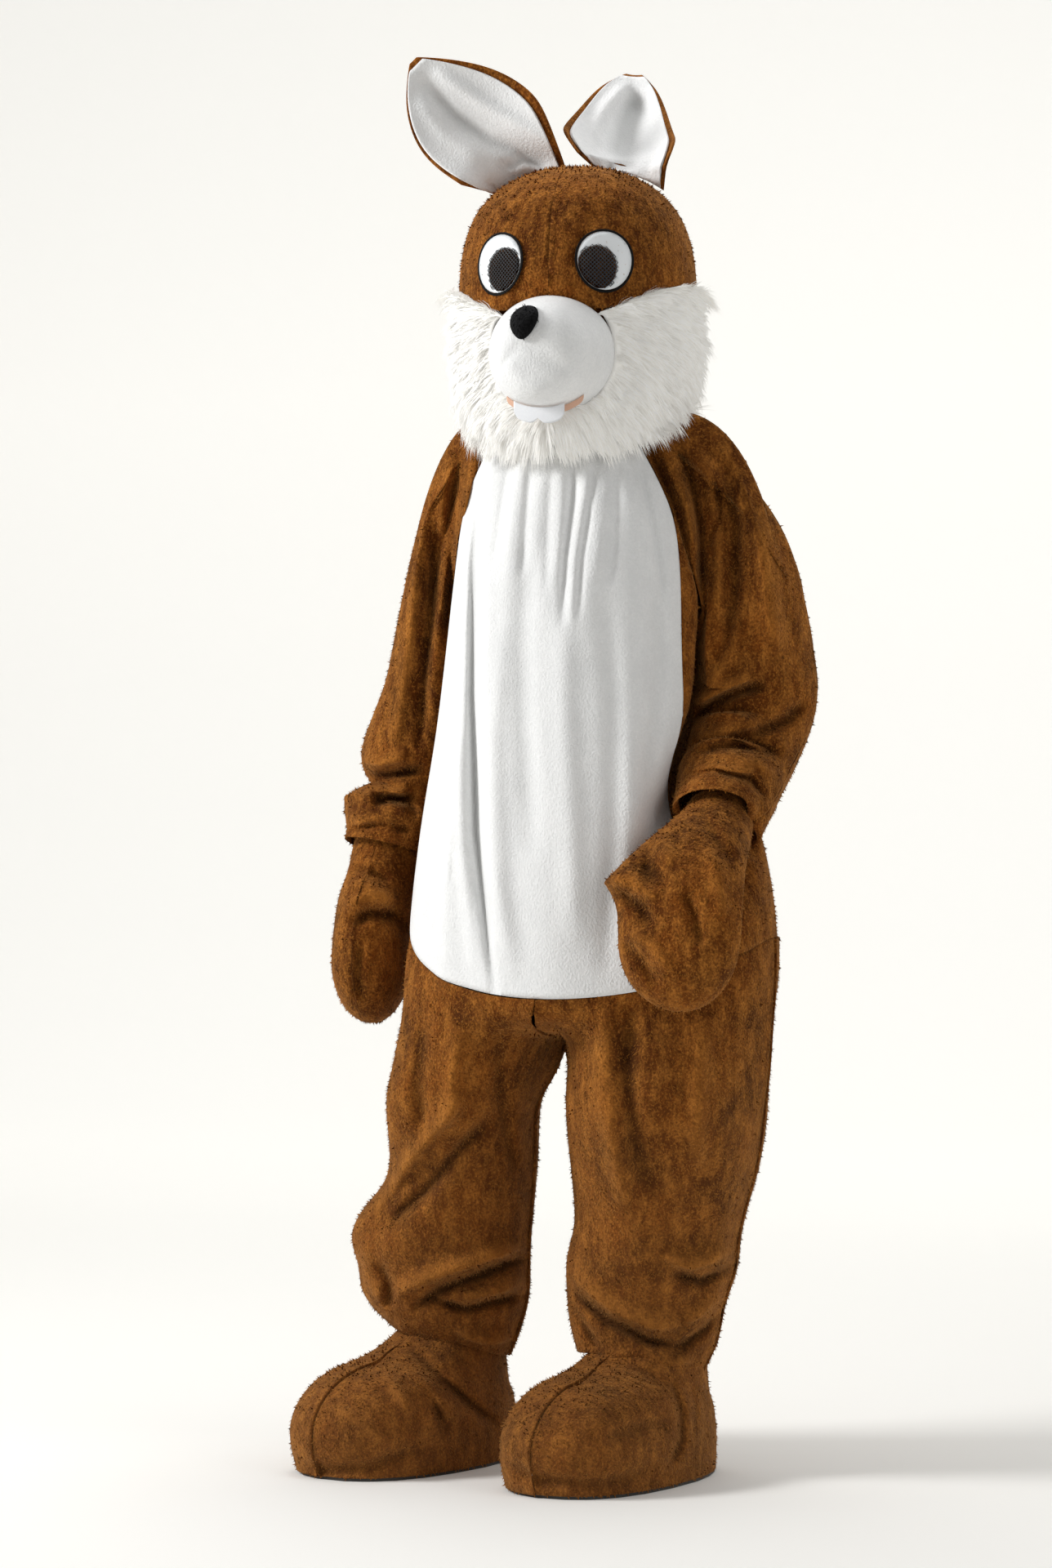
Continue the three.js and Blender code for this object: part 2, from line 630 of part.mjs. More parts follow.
function legPoint({ name, side }) {
  const base = (turn, z) => {
    const way = turn < 0 ? -1 : 1;
    const round = Math.abs(turn);
    const past = clamp((round - RISE_START) / (180 - RISE_START), 0, 1);
    const angle = 90 - way * 90 * Math.min(round / RISE_START, 1);
    const top = lerp(waistHeight(side * angle), 700, past);
    const change = 1 - smoothstep(z, LEG_SPLIT, top);
    const trunk = suitPoint(side * angle, Math.max(z, LEG_SPLIT));
    if (past > 0) trunk.lerp(V(centreLine(z), 0, z), past);
    trunk.z = z;
    const leg = LEGS[name](z);
    const tube = V(
      leg.x + side * leg.wide * Math.cos(round * DEG),
      leg.y - way * leg.deep * Math.sin(round * DEG),
      z,
    );
    return trunk.lerp(tube, change);
  };
  // The centre seams of the two legs follow one line, so each leg is drawn to it above the crotch.
  return (turn, z) => {
    const way = turn < 0 ? -1 : 1;
    const end = riseEnd(z);
    const edge = base(way * end, z);
    const t = clamp((RISE_TOP - z) / (RISE_TOP - CROTCH_HEIGHT), 0, 1);
    const reach = Math.sqrt(1 - t * t);
    const seam = V(centreLine(z), reach * suitPoint(way > 0 ? 0 : 180, Math.max(z, RISE_TOP)).y, z);
    const draw = smoothstep(z, 500, CROTCH_HEIGHT) * Math.min(Math.abs(turn) / end, 1) ** 3;
    const p = base(turn, z).addScaledVector(seam.sub(edge), draw);
    const height = foldHeight(LEG_FOLDS[name], turn, z, 360) * (1 - smoothstep(z, 520, 640));
    if (Math.abs(height) < 0.01) return p;
    const leg = LEGS[name](z);
    return p.addScaledVector(V(p.x - leg.x, p.y - leg.y, 0).normalize(), height);
  };
}
function riseEnd(z) {
  if (z >= RISE_TOP) return RISE_START;
  const t = clamp((RISE_TOP - z) / (RISE_TOP - CROTCH_HEIGHT), 0, 1);
  return lerp(RISE_START, 180, (Math.asin(t) * 2) / Math.PI);
}
// The hems ride up over the shoes: heights at the outside, front, inside and back.
const HEMS = {
  left: { outside: 138, front: 172, inside: 165, back: 135 },
  right: { outside: 192, front: 176, inside: 146, back: 140 },
};
const LEG_ROWS = { upper: 2, rise: 4, lower: 10 };
const LEG_TUCK = 0.7; // the trousers' top edge lies this far below the edge above it
// The columns of a leg's front follow those of the belly, and meet the side seam at the last one.
const bellyStep = (BELLY_SIDES.left.angle + BELLY_SIDES.right.angle) / BELLY_COLUMNS;
const legColumns = ({ name }, half) => {
  if (half === "back") return Array.from({ length: 10 }, (_, k) => (k / 9) * RISE_START);
  const { angle: edge, station } = BELLY_SIDES[name];
  const brown = STATIONS.slice(0, station).map((off) => 90 - off);
  const count = Math.floor(edge / bellyStep);
  const white = Array.from({ length: count + 1 }, (_, k) => edge - k * bellyStep);
  return [...brown, ...white, 0].map((angle) => (1 - angle / 90) * RISE_START);
};
for (const which of SIDES)
  for (const [half, way] of [
    ["front", 1],
    ["back", -1],
  ]) {
    const hem = HEMS[which.name];
    const hemHeight = (turn) =>
      hem[half] * Math.sin(turn * DEG) ** 2 +
      (turn < 90 ? hem.outside : hem.inside) * Math.cos(turn * DEG) ** 2;
    const columns = legColumns(which, half);
    const place = (i, j) => {
      const share = columns[Math.round(i * (columns.length - 1))] / RISE_START;
      const row = Math.round(j * (LEG_ROWS.upper + LEG_ROWS.rise + LEG_ROWS.lower));
      const down = row - LEG_ROWS.upper;
      const under = (Math.max(down, 0) / LEG_ROWS.rise) * 90;
      if (down <= 0) {
        const top = waistHeight(which.side * (90 - way * 90 * share)) - LEG_TUCK;
        return [way * share * RISE_START, lerp(top, RISE_TOP, row / LEG_ROWS.upper)];
      }
      if (down <= LEG_ROWS.rise) {
        const z = RISE_TOP - (RISE_TOP - CROTCH_HEIGHT) * Math.sin(under * DEG);
        return [way * share * riseEnd(z), z];
      }
      const low = (down - LEG_ROWS.rise) / LEG_ROWS.lower;
      const even = lerp(share, i, smoothstep(low, 0, 0.4));
      return [way * even * 180, lerp(CROTCH_HEIGHT, hemHeight(even * 180), low)];
    };
    const rows = LEG_ROWS.upper + LEG_ROWS.rise + LEG_ROWS.lower;
    add(
      `leg_${which.name}_${half}`,
      panel(legPoint(which), place, columns.length - 1, rows, {
        du: 1,
        dv: 2,
        flip: -which.side * way,
        apart: V(which.side * SEAM, 0, 0),
        turned: (turn, z, n) => (z > 599 && Math.abs(turn) > riseEnd(z) - 0.1 ? n.setX(0).normalize() : n),
      }),
      "brown",
    );
  }

// Overshoes: each upper is two halves that meet over the toe and behind the heel, and close in to a
// collar round the ankle under the hem. Angle 0 is the toe.
const SHOE_HEIGHT = 122;
const SHOE_COLLAR = 188; // the collar stands up inside the hem of the trousers
const SHOE_TABLE = { heelReach: 178, broad: 108, toeBroad: 18, ankle: 82, collar: 70 };
const SHOES = [
  { name: "left", side: 1, x: 105, y: 32, toeOut: -18, toeReach: 226 },
  { name: "right", side: -1, x: -200, y: 72, toeOut: 25, toeReach: 212 },
];
for (const shoe of SHOES) {
  const { heelReach, broad, toeBroad, ankle, collar } = SHOE_TABLE;
  const turn = shoe.side * shoe.toeOut * DEG;
  const forward = V(Math.sin(turn), -Math.cos(turn), 0);
  const across = V(Math.cos(turn), Math.sin(turn), 0);
  const middle = V(shoe.x, shoe.y, 0).addScaledVector(forward, ankle);
  const outline = (angle, size = 1) => {
    const [sin, cos] = [Math.sin(angle * DEG), Math.cos(angle * DEG)];
    const reach = (cos > 0 ? shoe.toeReach : heelReach) * squared(cos, 0.85);
    return middle
      .clone()
      .addScaledVector(forward, reach * size)
      .addScaledVector(across, squared(sin, 0.85) * (broad + toeBroad * cos) * size);
  };
  const upper = (angle, rise) => {
    const out = cosine(rise, 0.62) - 0.1 * (1 - clamp(rise / 24, 0, 1)) ** 2;
    const gather = 3 * Math.cos(9 * angle * DEG) * smoothstep(Math.abs(angle), 110, 150) * out;
    const ring = V(shoe.x, shoe.y, 0)
      .addScaledVector(forward, (collar + gather) * Math.cos(angle * DEG))
      .addScaledVector(across, (collar + gather) * Math.sin(angle * DEG));
    const p = ring.lerp(outline(angle), out);
    const high = SHOE_HEIGHT + 26 * Math.cos(angle * DEG);
    const collarRise = smoothstep(rise, 84, 96) * (SHOE_COLLAR - high);
    return p.setZ(SOLE_THICKNESS + SEAM + high * sine(Math.min(rise, 90), 0.75) + collarRise);
  };
  for (const [half, way] of [
    ["outer", shoe.side],
    ["inner", -shoe.side],
  ])
    add(
      `shoe_${shoe.name}_${half}`,
      panel(upper, (i, j) => [way * i * 180, j < 1 ? 98 * j ** 1.25 : 98], 11, 7, {
        du: 1,
        dv: 1,
        flip: way,
        apart: across.clone().multiplyScalar((way * SEAM) / 2),
        whole: "left right",
      }),
      "brown",
    );
  const soleRing = (size, z) =>
    Array.from({ length: 22 }, (_, i) => middle.clone().lerp(upper((i / 22) * 360, 0), size).setZ(z));
  const soleGrid = (z) => [0, 1].map((size) => soleRing(size * 0.98, z));
  add(`shoe_${shoe.name}_sole`, wallMesh(soleGrid(SOLE_THICKNESS), soleGrid(0), true), "sole");
}

// The head, a hood held in shape by its lining. Place 0 is the crown and 1 the rim at the sides.
const HEAD = V(5, -8, 0);
const HEAD_TURN = 3; // in degrees, towards the costume's left
const HEAD_BACK = 1.06; // a little deeper behind than in front
const headTable = table(
  ["place", "z", "spread"],
  [
    [0, 1803, 0],
    [0.08, 1801, 32],
    [0.16, 1793, 64],
    [0.25, 1778, 98],
    [0.35, 1752, 130],
    [0.45, 1718, 150],
    [0.58, 1667, 162],
    [0.7, 1610, 164],
    [0.85, 1535, 159],
    [1, 1466, 146],
    [1.15, 1416, 136],
  ],
);
function headPoint(angle, place) {
  const { z, spread } = headTable(place);
  const a = (angle + HEAD_TURN) * DEG;
  const deep = Math.cos(angle * DEG) > 0 ? 1 : HEAD_BACK;
  return V(HEAD.x + spread * Math.sin(a), HEAD.y - spread * deep * Math.cos(a), z);
}
const HEAD_SEAM = 104; // the ears are sewn into this seam
const MUZZLE = { half: 31, place: 0.866, rise: 0.158, corner: 22 };
const muzzleEdge = (around) => ({
  angle: MUZZLE.half * Math.cos(around * DEG),
  place: MUZZLE.place - MUZZLE.rise * Math.sin(around * DEG),
});
const cheekTop = table(
  ["angle", "place"],
  [
    [22, 0.755],
    [35, 0.728],
    [50, 0.69],
    [65, 0.668],
    [90, 0.662],
    [104, 0.68],
  ],
);
const browPlace = (angle) =>
  angle < MUZZLE.corner
    ? MUZZLE.place - MUZZLE.rise * Math.sqrt(1 - (angle / MUZZLE.half) ** 2)
    : cheekTop(angle).place;
const headHoles = [];
const HEAD_OPTIONS = { du: 0.5, dv: 0.004 };
for (const { name, side } of SIDES) {
  const frontPlace = (i, j) => {
    const angle = HEAD_SEAM * i;
    return [side * angle, browPlace(angle) * j ** 0.85];
  };
  const backPlace = (i, j) => [side * lerp(HEAD_SEAM, 180, i), j ** 0.85];
  const apart = V(Math.cos(HEAD_TURN * DEG), Math.sin(HEAD_TURN * DEG), 0);
  const options = { ...HEAD_OPTIONS, flip: -1, whole: "low" };
  const frontApart = apart.clone().multiplyScalar((side * SEAM) / 2).add(V(0, -SEAM / 2, 0));
  const backApart = apart.clone().multiplyScalar((side * SEAM) / 2).add(V(0, SEAM / 2, 0));
  const front = panel(headPoint, frontPlace, 11, 8, { ...options, apart: frontApart });
  headHoles.push({ name: `head_front_${name}`, side, geometry: front });
  add(`head_back_${name}`, panel(headPoint, backPlace, 8, 8, { ...options, apart: backApart }), "brown");
}

// Long fur on the cheeks and chin: a thick wall from the muzzle out to the brow seam, the side seam
// and the rim, one piece on each side of the chin. Its thickness reaches as far as the fur does.
const FUR_THICK = 26;
const CHIN = 1.15; // place of the rim under the chin
for (const { name, side } of SIDES) {
  const outerEdge = (i) => {
    if (i < 0.3) return { angle: HEAD_SEAM, place: lerp(cheekTop(HEAD_SEAM).place, 1, i / 0.3) };
    const t = (i - 0.3) / 0.7;
    return { angle: HEAD_SEAM * (1 - t), place: lerp(1, CHIN, smoothstep(t, 0, 0.8)) };
  };
  const start = Math.acos(MUZZLE.corner / MUZZLE.half) / DEG;
  const place = (i, j) => {
    const inner = muzzleEdge(lerp(start, -90, i));
    const outer = outerEdge(i);
    const angle = lerp(inner.angle, outer.angle, j);
    const straight = lerp(inner.place, outer.place, j);
    const brow = browPlace(Math.max(angle, MUZZLE.corner)) - lerp(inner.place, cheekTop(HEAD_SEAM).place, j);
    return [side * angle, straight + 0.0025 + brow * Math.max(0, 1 - i / 0.3)];
  };
  const ramp = (i, j) =>
    FUR_THICK * Math.min(1, 0.3 + 2.6 * j) * Math.min(1, 0.45 + 2.2 * (1 - j)) * Math.min(1, 0.55 + 3 * i);
  const sideways = V(Math.cos(HEAD_TURN * DEG), Math.sin(HEAD_TURN * DEG), 0);
  add(
    `cheek_${name}`,
    panel(headPoint, place, 15, 5, {
      ...HEAD_OPTIONS,
      flip: -1,
      out: ramp,
      thick: (i, j) => ramp(i, j) + PLUSH,
      apart: sideways.multiplyScalar((side * SEAM) / 2),
    }),
    "fur",
  );
}

// The muzzle: a stuffed dome that closes the face, on an oval of the head's surface.
const MUZZLE_HEIGHT = 86;
const MUZZLE_WALL = 5;
const facing = V(Math.sin(HEAD_TURN * DEG), -Math.cos(HEAD_TURN * DEG), 0);
function muzzlePoint(around, rise) {
  const size = cosine(rise, 0.5);
  const angle = MUZZLE.half * 0.99 * size * Math.cos(around * DEG);
  const place = MUZZLE.place - MUZZLE.rise * 0.99 * size * Math.sin(around * DEG);
  const droop = 14 * Math.sin(rise * DEG);
  const p = headPoint(angle, place).addScaledVector(facing, MUZZLE_HEIGHT * sine(rise, 0.8));
  return p.setZ(p.z - droop);
}
const muzzlePlace = (i, j) => [i * 360, 2 + 88 * j];
const MUZZLE_OPTIONS = { du: 1, dv: 0.5, flip: 1, loop: true, spare: facing };
add(
  "muzzle",
  panel(muzzlePoint, muzzlePlace, 18, 7, {
    ...MUZZLE_OPTIONS,
    whole: "high",
    thick: () => MUZZLE_WALL,
  }),
  "white",
);

// The nose is a stuffed pad of plush, a rounded triangle with its tip down, on the muzzle's points.
const NOSE = { x: 3, z: 1564, wide: 21, high: 25, thick: 11 };
function nosePoint(around, size) {
  const [cos, sin] = [Math.cos(around * DEG), Math.sin(around * DEG)];
  const taper = 1 + 0.28 * sin;
  return muzzleAt(NOSE.x + NOSE.wide * size * cos * taper, NOSE.z + NOSE.high * size * sin);
}
// The muzzle's point in front of a place given by x and z, found by closing in on it.
function muzzleAt(x, z) {
  let [around, rise] = [90, 60];
  for (let step = 0; step < 60; step++) {
    const p = muzzlePoint(around, rise);
    const ex = x - p.x;
    const ez = z - p.z;
    if (Math.hypot(ex, ez) < 0.01) break;
    const byTurn = muzzlePoint(around + 0.5, rise).sub(p).multiplyScalar(2);
    const byRise = muzzlePoint(around, rise + 0.5).sub(p).multiplyScalar(2);
    const area = byTurn.x * byRise.z - byTurn.z * byRise.x;
    around += clamp((ex * byRise.z - ez * byRise.x) / area, -8, 8);
    rise = clamp(rise + clamp((byTurn.x * ez - byTurn.z * ex) / area, -8, 8), 3, 89.5);
  }
  return muzzlePoint(around, rise);
}
const noseGrid = (depth) =>
  [0, 0.45, 0.8, 1].map((size) =>
    Array.from({ length: 14 }, (_, i) => {
      const stand = depth ? 2 * SEAM : 2 * SEAM + 2 + NOSE.thick * Math.sqrt(1 - size * size * 0.98);
      return nosePoint((i / 14) * 360, size).addScaledVector(facing, stand);
    }),
  );
add("nose", wallMesh(noseGrid(0), noseGrid(1), true), "black");

// Two felt teeth hang below the muzzle, cut in one piece with a notch between them, and a strip of
// peach felt behind them is the lining of the mouth. Both are sewn along the muzzle's underside.
const TEETH = { half: 30, drop: 22, rise: 34, shift: -4 };
const mouthPoint = (across, down, rise) => {
  const around = 270 + across;
  const p = muzzlePoint(around, rise);
  return p.setZ(p.z - 1.2 - down);
};
const teethPlace = (i, j) => {
  const notch = 0.35 * Math.exp(-(((i - 0.5) / 0.05) ** 2));
  const ends = Math.min(1, 0.72 + 2.6 * Math.min(i, 1 - i));
  return [lerp(-TEETH.half, TEETH.half, i) + TEETH.shift, TEETH.drop * j * (ends - notch)];
};
const teethSurface = (across, down) => mouthPoint(across, down, TEETH.rise);
add(
  "teeth",
  panel(teethSurface, teethPlace, 10, 2, { du: 0.5, dv: 0.5, flip: -1, thick: () => FELT }),
  "felt",
);
const MOUTH = { half: 46, drop: 9, rise: 24 };
add(
  "mouth_lining",
  panel(
    (across, down) => mouthPoint(across, down, MOUTH.rise),
    (i, j) => [lerp(-MOUTH.half, MOUTH.half, i), MOUTH.drop * j],
    10,
    1,
    { du: 0.5, dv: 0.5, flip: -1, thick: () => FELT },
  ),
  "peach",
);

// Eyes: a white vinyl oval sewn to the head, a black mesh pupil that the wearer looks out through, and a
// stitched black border round the white. The head and the white are open behind the pupil.
const EYE = { angle: 27, place: 0.603, wide: 38, high: 44, thick: 1.2, border: 4.5, stand: 0.7 };
const PUPIL = { wide: 30, high: 35, inward: 11, down: 12, reach: 0.985, thick: 0.8, overlap: 3 };
const HEAD_RADIUS = 162; // turns millimetres across the face into degrees
const HEAD_DROP = 490; // millimetres of height for each unit of place, near the eyes
const aroundEye = (side, x, z) => {
  const angle = side * EYE.angle + x / HEAD_RADIUS / DEG;
  return [angle, EYE.place - z / HEAD_DROP];
};
const eyeShape = (around, size) => {
  const [cos, sin] = [Math.cos(around * DEG), Math.sin(around * DEG)];
  return { x: EYE.wide * size * cos, z: EYE.high * size * sin };
};
const polar = (shape, side, low, high) => (i, j) => {
  const { x, z } = shape(i * 360, lerp(low, high, j));
  return aroundEye(side, x, z);
};
const pupilShape = (side) => (around, size) => {
  const [cos, sin] = [Math.cos(around * DEG), Math.sin(around * DEG)];
  const x = -side * PUPIL.inward + PUPIL.wide * size * cos;
  const z = -PUPIL.down + PUPIL.high * size * sin;
  const reach = Math.max(Math.hypot(x / EYE.wide, z / EYE.high) / PUPIL.reach, 1);
  return { x: x / reach, z: z / reach };
};
const wasm = await Module();
wasm.setup();
const toSolid = (geometry) => {
  const merged = mergeVertices(new THREE.BufferGeometry().copy(geometry).deleteAttribute("normal"), 1e-3);
  return new wasm.Manifold(
    new wasm.Mesh({
      numProp: 3,
      vertProperties: new Float32Array(merged.attributes.position.array),
      triVerts: new Uint32Array(merged.index.array),
    }),
  );
};
const toGeometry = (solid) => {
  const mesh = solid.getMesh();
  const geometry = new THREE.BufferGeometry();
  geometry.setAttribute("position", new THREE.BufferAttribute(mesh.vertProperties, 3));
  geometry.setIndex(Array.from(mesh.triVerts));
  geometry.computeVertexNormals();
  return geometry;
};
for (const { name, side, geometry } of headHoles) {
  const eyeWall = { ...HEAD_OPTIONS, flip: -1, loop: true, whole: "low high" };
  const ring = (size, stand) =>
    Array.from({ length: 16 }, (_, i) => {
      const { x, z } = pupilShape(side)((i / 16) * 360, size);
      const [angle, place] = aroundEye(side, x, z);
      const n = normalOf(headPoint, angle, place, 0.5, 0.004, -1, UP);
      return headPoint(angle, place).addScaledVector(n, stand);
    });
  const inner = 1 - PUPIL.overlap / PUPIL.wide;
  const plug = wallMesh(
    [ring(0, 12), ring(inner, 12)],
    [ring(0, -12), ring(inner, -12)],
    true,
  );
  const opening = toSolid(plug);
  add(`head_front_${side > 0 ? "left" : "right"}`, toGeometry(toSolid(geometry).subtract(opening)), "brown");
  const white = panel(headPoint, polar(eyeShape, side, 0, 1), 18, 3, {
    ...eyeWall,
    out: () => EYE.stand + EYE.thick,
    thick: () => EYE.thick,
  });
  add(`eye_white_${side > 0 ? "left" : "right"}`, toGeometry(toSolid(white).subtract(opening)), "vinyl");
  add(
    `eye_mesh_${side > 0 ? "left" : "right"}`,
    panel(headPoint, polar(pupilShape(side), side, 0, 1), 16, 2, {
      ...eyeWall,
      out: () => EYE.stand + SEAM + EYE.thick + PUPIL.thick,
      thick: () => PUPIL.thick,
    }),
    "black",
  );
  const widest = 1 + (EYE.border - 1) / EYE.wide;
  const narrowest = 1 + 0.5 / EYE.wide;
  add(
    `eye_border_${side > 0 ? "left" : "right"}`,
    panel(headPoint, polar(eyeShape, side, narrowest, widest), 18, 1, {
      ...eyeWall,
      out: () => EYE.stand + EYE.thick + 0.6,
      thick: () => EYE.thick + 0.6,
    }),
    "black",
  );
}

// Ears: a brown back and a white lining, sewn together round the edge and standing on the side seam of
// the head. Across the ear, t runs from -1 to 1, and s runs from the base to the tip.
const EAR_COLUMNS = ["s", "left", "right"];
const EAR_UPRIGHT = table(EAR_COLUMNS, [
  [0, 60, 60],
  [0.1, 72, 74],
  [0.28, 82, 88],
  [0.55, 84, 78],
  [0.75, 66, 54],
  [0.9, 38, 28],
  [1, 7, 7],
]);
const EAR_FOLDED = table(EAR_COLUMNS, [
  [0, 60, 60],
  [0.1, 84, 84],
  [0.22, 96, 92],
  [0.43, 87, 74],
  [0.65, 68, 57],
  [0.8, 53, 44],
  [0.91, 37, 31],
  [1, 13, 13],
]);
const EARS = [
  {
    name: "right",
    shape: EAR_UPRIGHT,
    long: 226,
    base: V(-60, -26, 1790),
    along: V(-0.676, -0.206, 0.707),
    across: V(0.676, 0.206, 0.707),
    places: { from: 0.3, to: 0.05, angle: -HEAD_SEAM },
    curl: 0.5,
    baseCurl: 0.9,
    trim: { low: 0.97, high: 0.86 },
  },
  {
    name: "left",
    shape: EAR_FOLDED,
    long: 240,
    base: V(62, -14, 1778),
    along: V(-0.09, 0.68, 0.727),
    across: V(0.956, 0.292, 0),
    places: { from: 0.05, to: 0.3, angle: HEAD_SEAM },
    curl: 0.72,
    baseCurl: 1.3,
    trim: { low: 0.9, high: 0.9 },
  },
];
// Moves a point out from the middle of the head until it is clear of the head's surface.
function clearOfHead(p, clear) {
  const middle = V(HEAD.x, HEAD.y, 1640);
  const from = p.clone().sub(middle);
  const steep = Math.atan2(from.z, Math.hypot(from.x, from.y));
  let [low, high] = [0, 0.9];
  for (let step = 0; step < 30; step++) {
    const half = (low + high) / 2;
    const { z, spread } = headTable(half);
    if (Math.atan2(z - middle.z, spread) > steep) low = half;
    else high = half;
  }
  const { z, spread } = headTable(low);
  const reach = Math.hypot(z - middle.z, spread * (from.y > 0 ? HEAD_BACK : 1)) + clear;
  return from.length() > reach ? p : middle.addScaledVector(from.normalize(), reach);
}
for (const ear of EARS) {
  const along = ear.along.clone().normalize();
  const across = ear.across.clone().addScaledVector(along, -ear.across.dot(along)).normalize();
  const face = along.clone().cross(across).normalize();
  if (face.y > 0) face.negate();
  const surface = (t, s) => {
    const row = ear.shape(s);
    const half = t < 0 ? row.left : row.right;
    const bend = lerp(ear.baseCurl, ear.curl, smoothstep(s, 0, 0.6)) * (0.4 + 0.6 * (1 - s * s));
    const blade = ear.base
      .clone()
      .addScaledVector(along, ear.long * s)
      .addScaledVector(across, (half * Math.sin(bend * t)) / bend)
      .addScaledVector(face, (half * (1 - Math.cos(bend * t))) / bend - 14 * Math.sin(s * Math.PI));
    const place = lerp(ear.places.from, ear.places.to, (t + 1) / 2);
    const foot = headPoint(ear.places.angle, place);
    foot.addScaledVector(normalOf(headPoint, ear.places.angle, place, 0.5, 0.004, -1, UP), 0.6);
    return clearOfHead(foot.lerp(blade, smoothstep(s, 0, 0.22)), 0.6 + Math.min(70 * s, 9));
  };
  const flip = normalOf(surface, 0, 0.5, 0.02, 0.01, 1, UP).dot(face) > 0 ? 1 : -1;
  const options = { du: 0.02, dv: 0.008, flip, whole: "low" };
  const backPlace = (i, j) => [lerp(-1, 1, i), j];
  const liningPlace = (i, j) => [clamp(lerp(-1, 1, i), -ear.trim.low, ear.trim.high), Math.min(j, 0.97)];
  add(`ear_${ear.name}_back`, panel(surface, backPlace, 9, 8, { ...options, out: () => 0 }), "brown");
  add(
    `ear_${ear.name}_lining`,
    panel(surface, liningPlace, 9, 8, { ...options, out: () => PLUSH + 5 * SEAM }),
    "white",
  );
}

export default costume;
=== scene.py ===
"""Rabbit costume as it is worn: the plush suit, mittens, shoes and the big soft head, in metres."""

import math

import bmesh
import bpy
import numpy as np
from mathutils import Matrix, Vector
from mathutils.bvhtree import BVHTree


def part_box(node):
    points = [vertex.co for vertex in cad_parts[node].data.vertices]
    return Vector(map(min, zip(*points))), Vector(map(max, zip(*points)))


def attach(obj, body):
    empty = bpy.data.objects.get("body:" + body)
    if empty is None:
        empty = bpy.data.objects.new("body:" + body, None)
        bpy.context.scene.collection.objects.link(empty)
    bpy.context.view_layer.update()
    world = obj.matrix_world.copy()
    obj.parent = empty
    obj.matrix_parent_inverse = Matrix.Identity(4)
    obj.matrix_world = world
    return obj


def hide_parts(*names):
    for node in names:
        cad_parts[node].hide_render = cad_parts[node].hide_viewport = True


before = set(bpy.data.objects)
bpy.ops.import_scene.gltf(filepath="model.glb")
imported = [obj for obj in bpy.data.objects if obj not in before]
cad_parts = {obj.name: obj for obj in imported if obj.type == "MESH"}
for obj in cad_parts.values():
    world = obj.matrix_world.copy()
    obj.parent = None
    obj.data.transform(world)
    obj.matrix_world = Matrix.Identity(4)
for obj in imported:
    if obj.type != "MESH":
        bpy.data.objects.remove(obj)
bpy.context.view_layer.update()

# The camera stands level, six metres off and 17 degrees to the costume's left of its front. Folds below
# are placed by pixels of the 1288 x 1920 frame, so the view's own sizes come first.
NECK_HEIGHT = 1.462
VIEW_TURN = math.radians(17)
CAMERA_DISTANCE = 6.0
CAMERA_UP = 0.95 - NECK_HEIGHT
PIXEL = 0.00113  # at the middle of the body
MIDDLE_X = 705
HORIZON_Y = 960
FRAME_WIDTH = 1288
FRAME_HEIGHT = 1920
SENSOR_HEIGHT = 36
TOWARDS = np.array([math.sin(VIEW_TURN), -math.cos(VIEW_TURN), 0.0])
ACROSS = np.array([math.cos(VIEW_TURN), math.sin(VIEW_TURN), 0.0])

camera = bpy.data.objects.new("camera", bpy.data.cameras.new("camera"))
bpy.context.scene.collection.objects.link(camera)
camera.data.sensor_fit = "VERTICAL"
camera.data.sensor_height = SENSOR_HEIGHT
camera.data.lens = SENSOR_HEIGHT * CAMERA_DISTANCE / (PIXEL * FRAME_HEIGHT)
camera.data.shift_x = (FRAME_WIDTH / 2 - MIDDLE_X) / FRAME_HEIGHT
camera.location = Vector(TOWARDS) * CAMERA_DISTANCE + Vector((0, 0, CAMERA_UP))
camera.rotation_euler = (math.radians(90), 0, VIEW_TURN)
bpy.context.scene.camera = camera


def in_photo(points):
    """Pixel places of points, for folds that are drawn in the photograph."""
    scale = CAMERA_DISTANCE / (CAMERA_DISTANCE - points @ TOWARDS) / PIXEL
    return MIDDLE_X + points @ ACROSS * scale, HORIZON_Y + (CAMERA_UP - points[:, 2]) * scale


def from_behind(points):
    """Places in millimetres as seen from behind: left to right, and down from the neck."""
    return points[:, 0] * -1000, points[:, 2] * -1000


# The trunk of the suit: a white belly panel gathered at the neck, and two brown backs that meet under a
# placket. Each panel is a sheet of plush with a short pile, and its creases are pressed in as soft troughs.
BEHIND = np.array([0.0, 1.0, 0.0])
RIM_WIDTH = 0.005  # the faces along a cut edge are narrower than this
CREASE_ANGLE = math.radians(60)
PATCH_ANGLE = math.radians(70)  # how far the corners of a patch may be from square
END_FACING = 0.6  # how squarely a rim face looks out of an open end
FOLD_GAIN = 1.8  # a fold fades out where the cloth turns away from the view
FOLD_LOSS = 0.25
FOLD_FULLNESS = 1.6  # and it fades towards its own ends
FOLD_ROUNDNESS = 0.7
RIDGE_SCALE = 100  # the ridge attribute is in centimetres
OUTER_FACING = 0.25  # how squarely an outer face looks away from the middle
STRAND_TAPER = 0.75
STRAND_LEAN = 0.5  # of a strand's normal, along the strand
PILE_TUFTS = 44000  # to the square metre
PILE_LENGTH = 0.0055
PILE_SPREAD = (0.6, 1.25)  # of that length, from tuft to tuft
PILE_WIDTH = 0.0026
PILE_ALONG = 0.8  # of a tuft's way, along the nap
PILE_OUT = 0.5  # and away from the cloth
PILE_STRAY = 0.38
PILE_ROOT = 0.0004  # how deep a tuft starts
PILE_CURL = -0.1


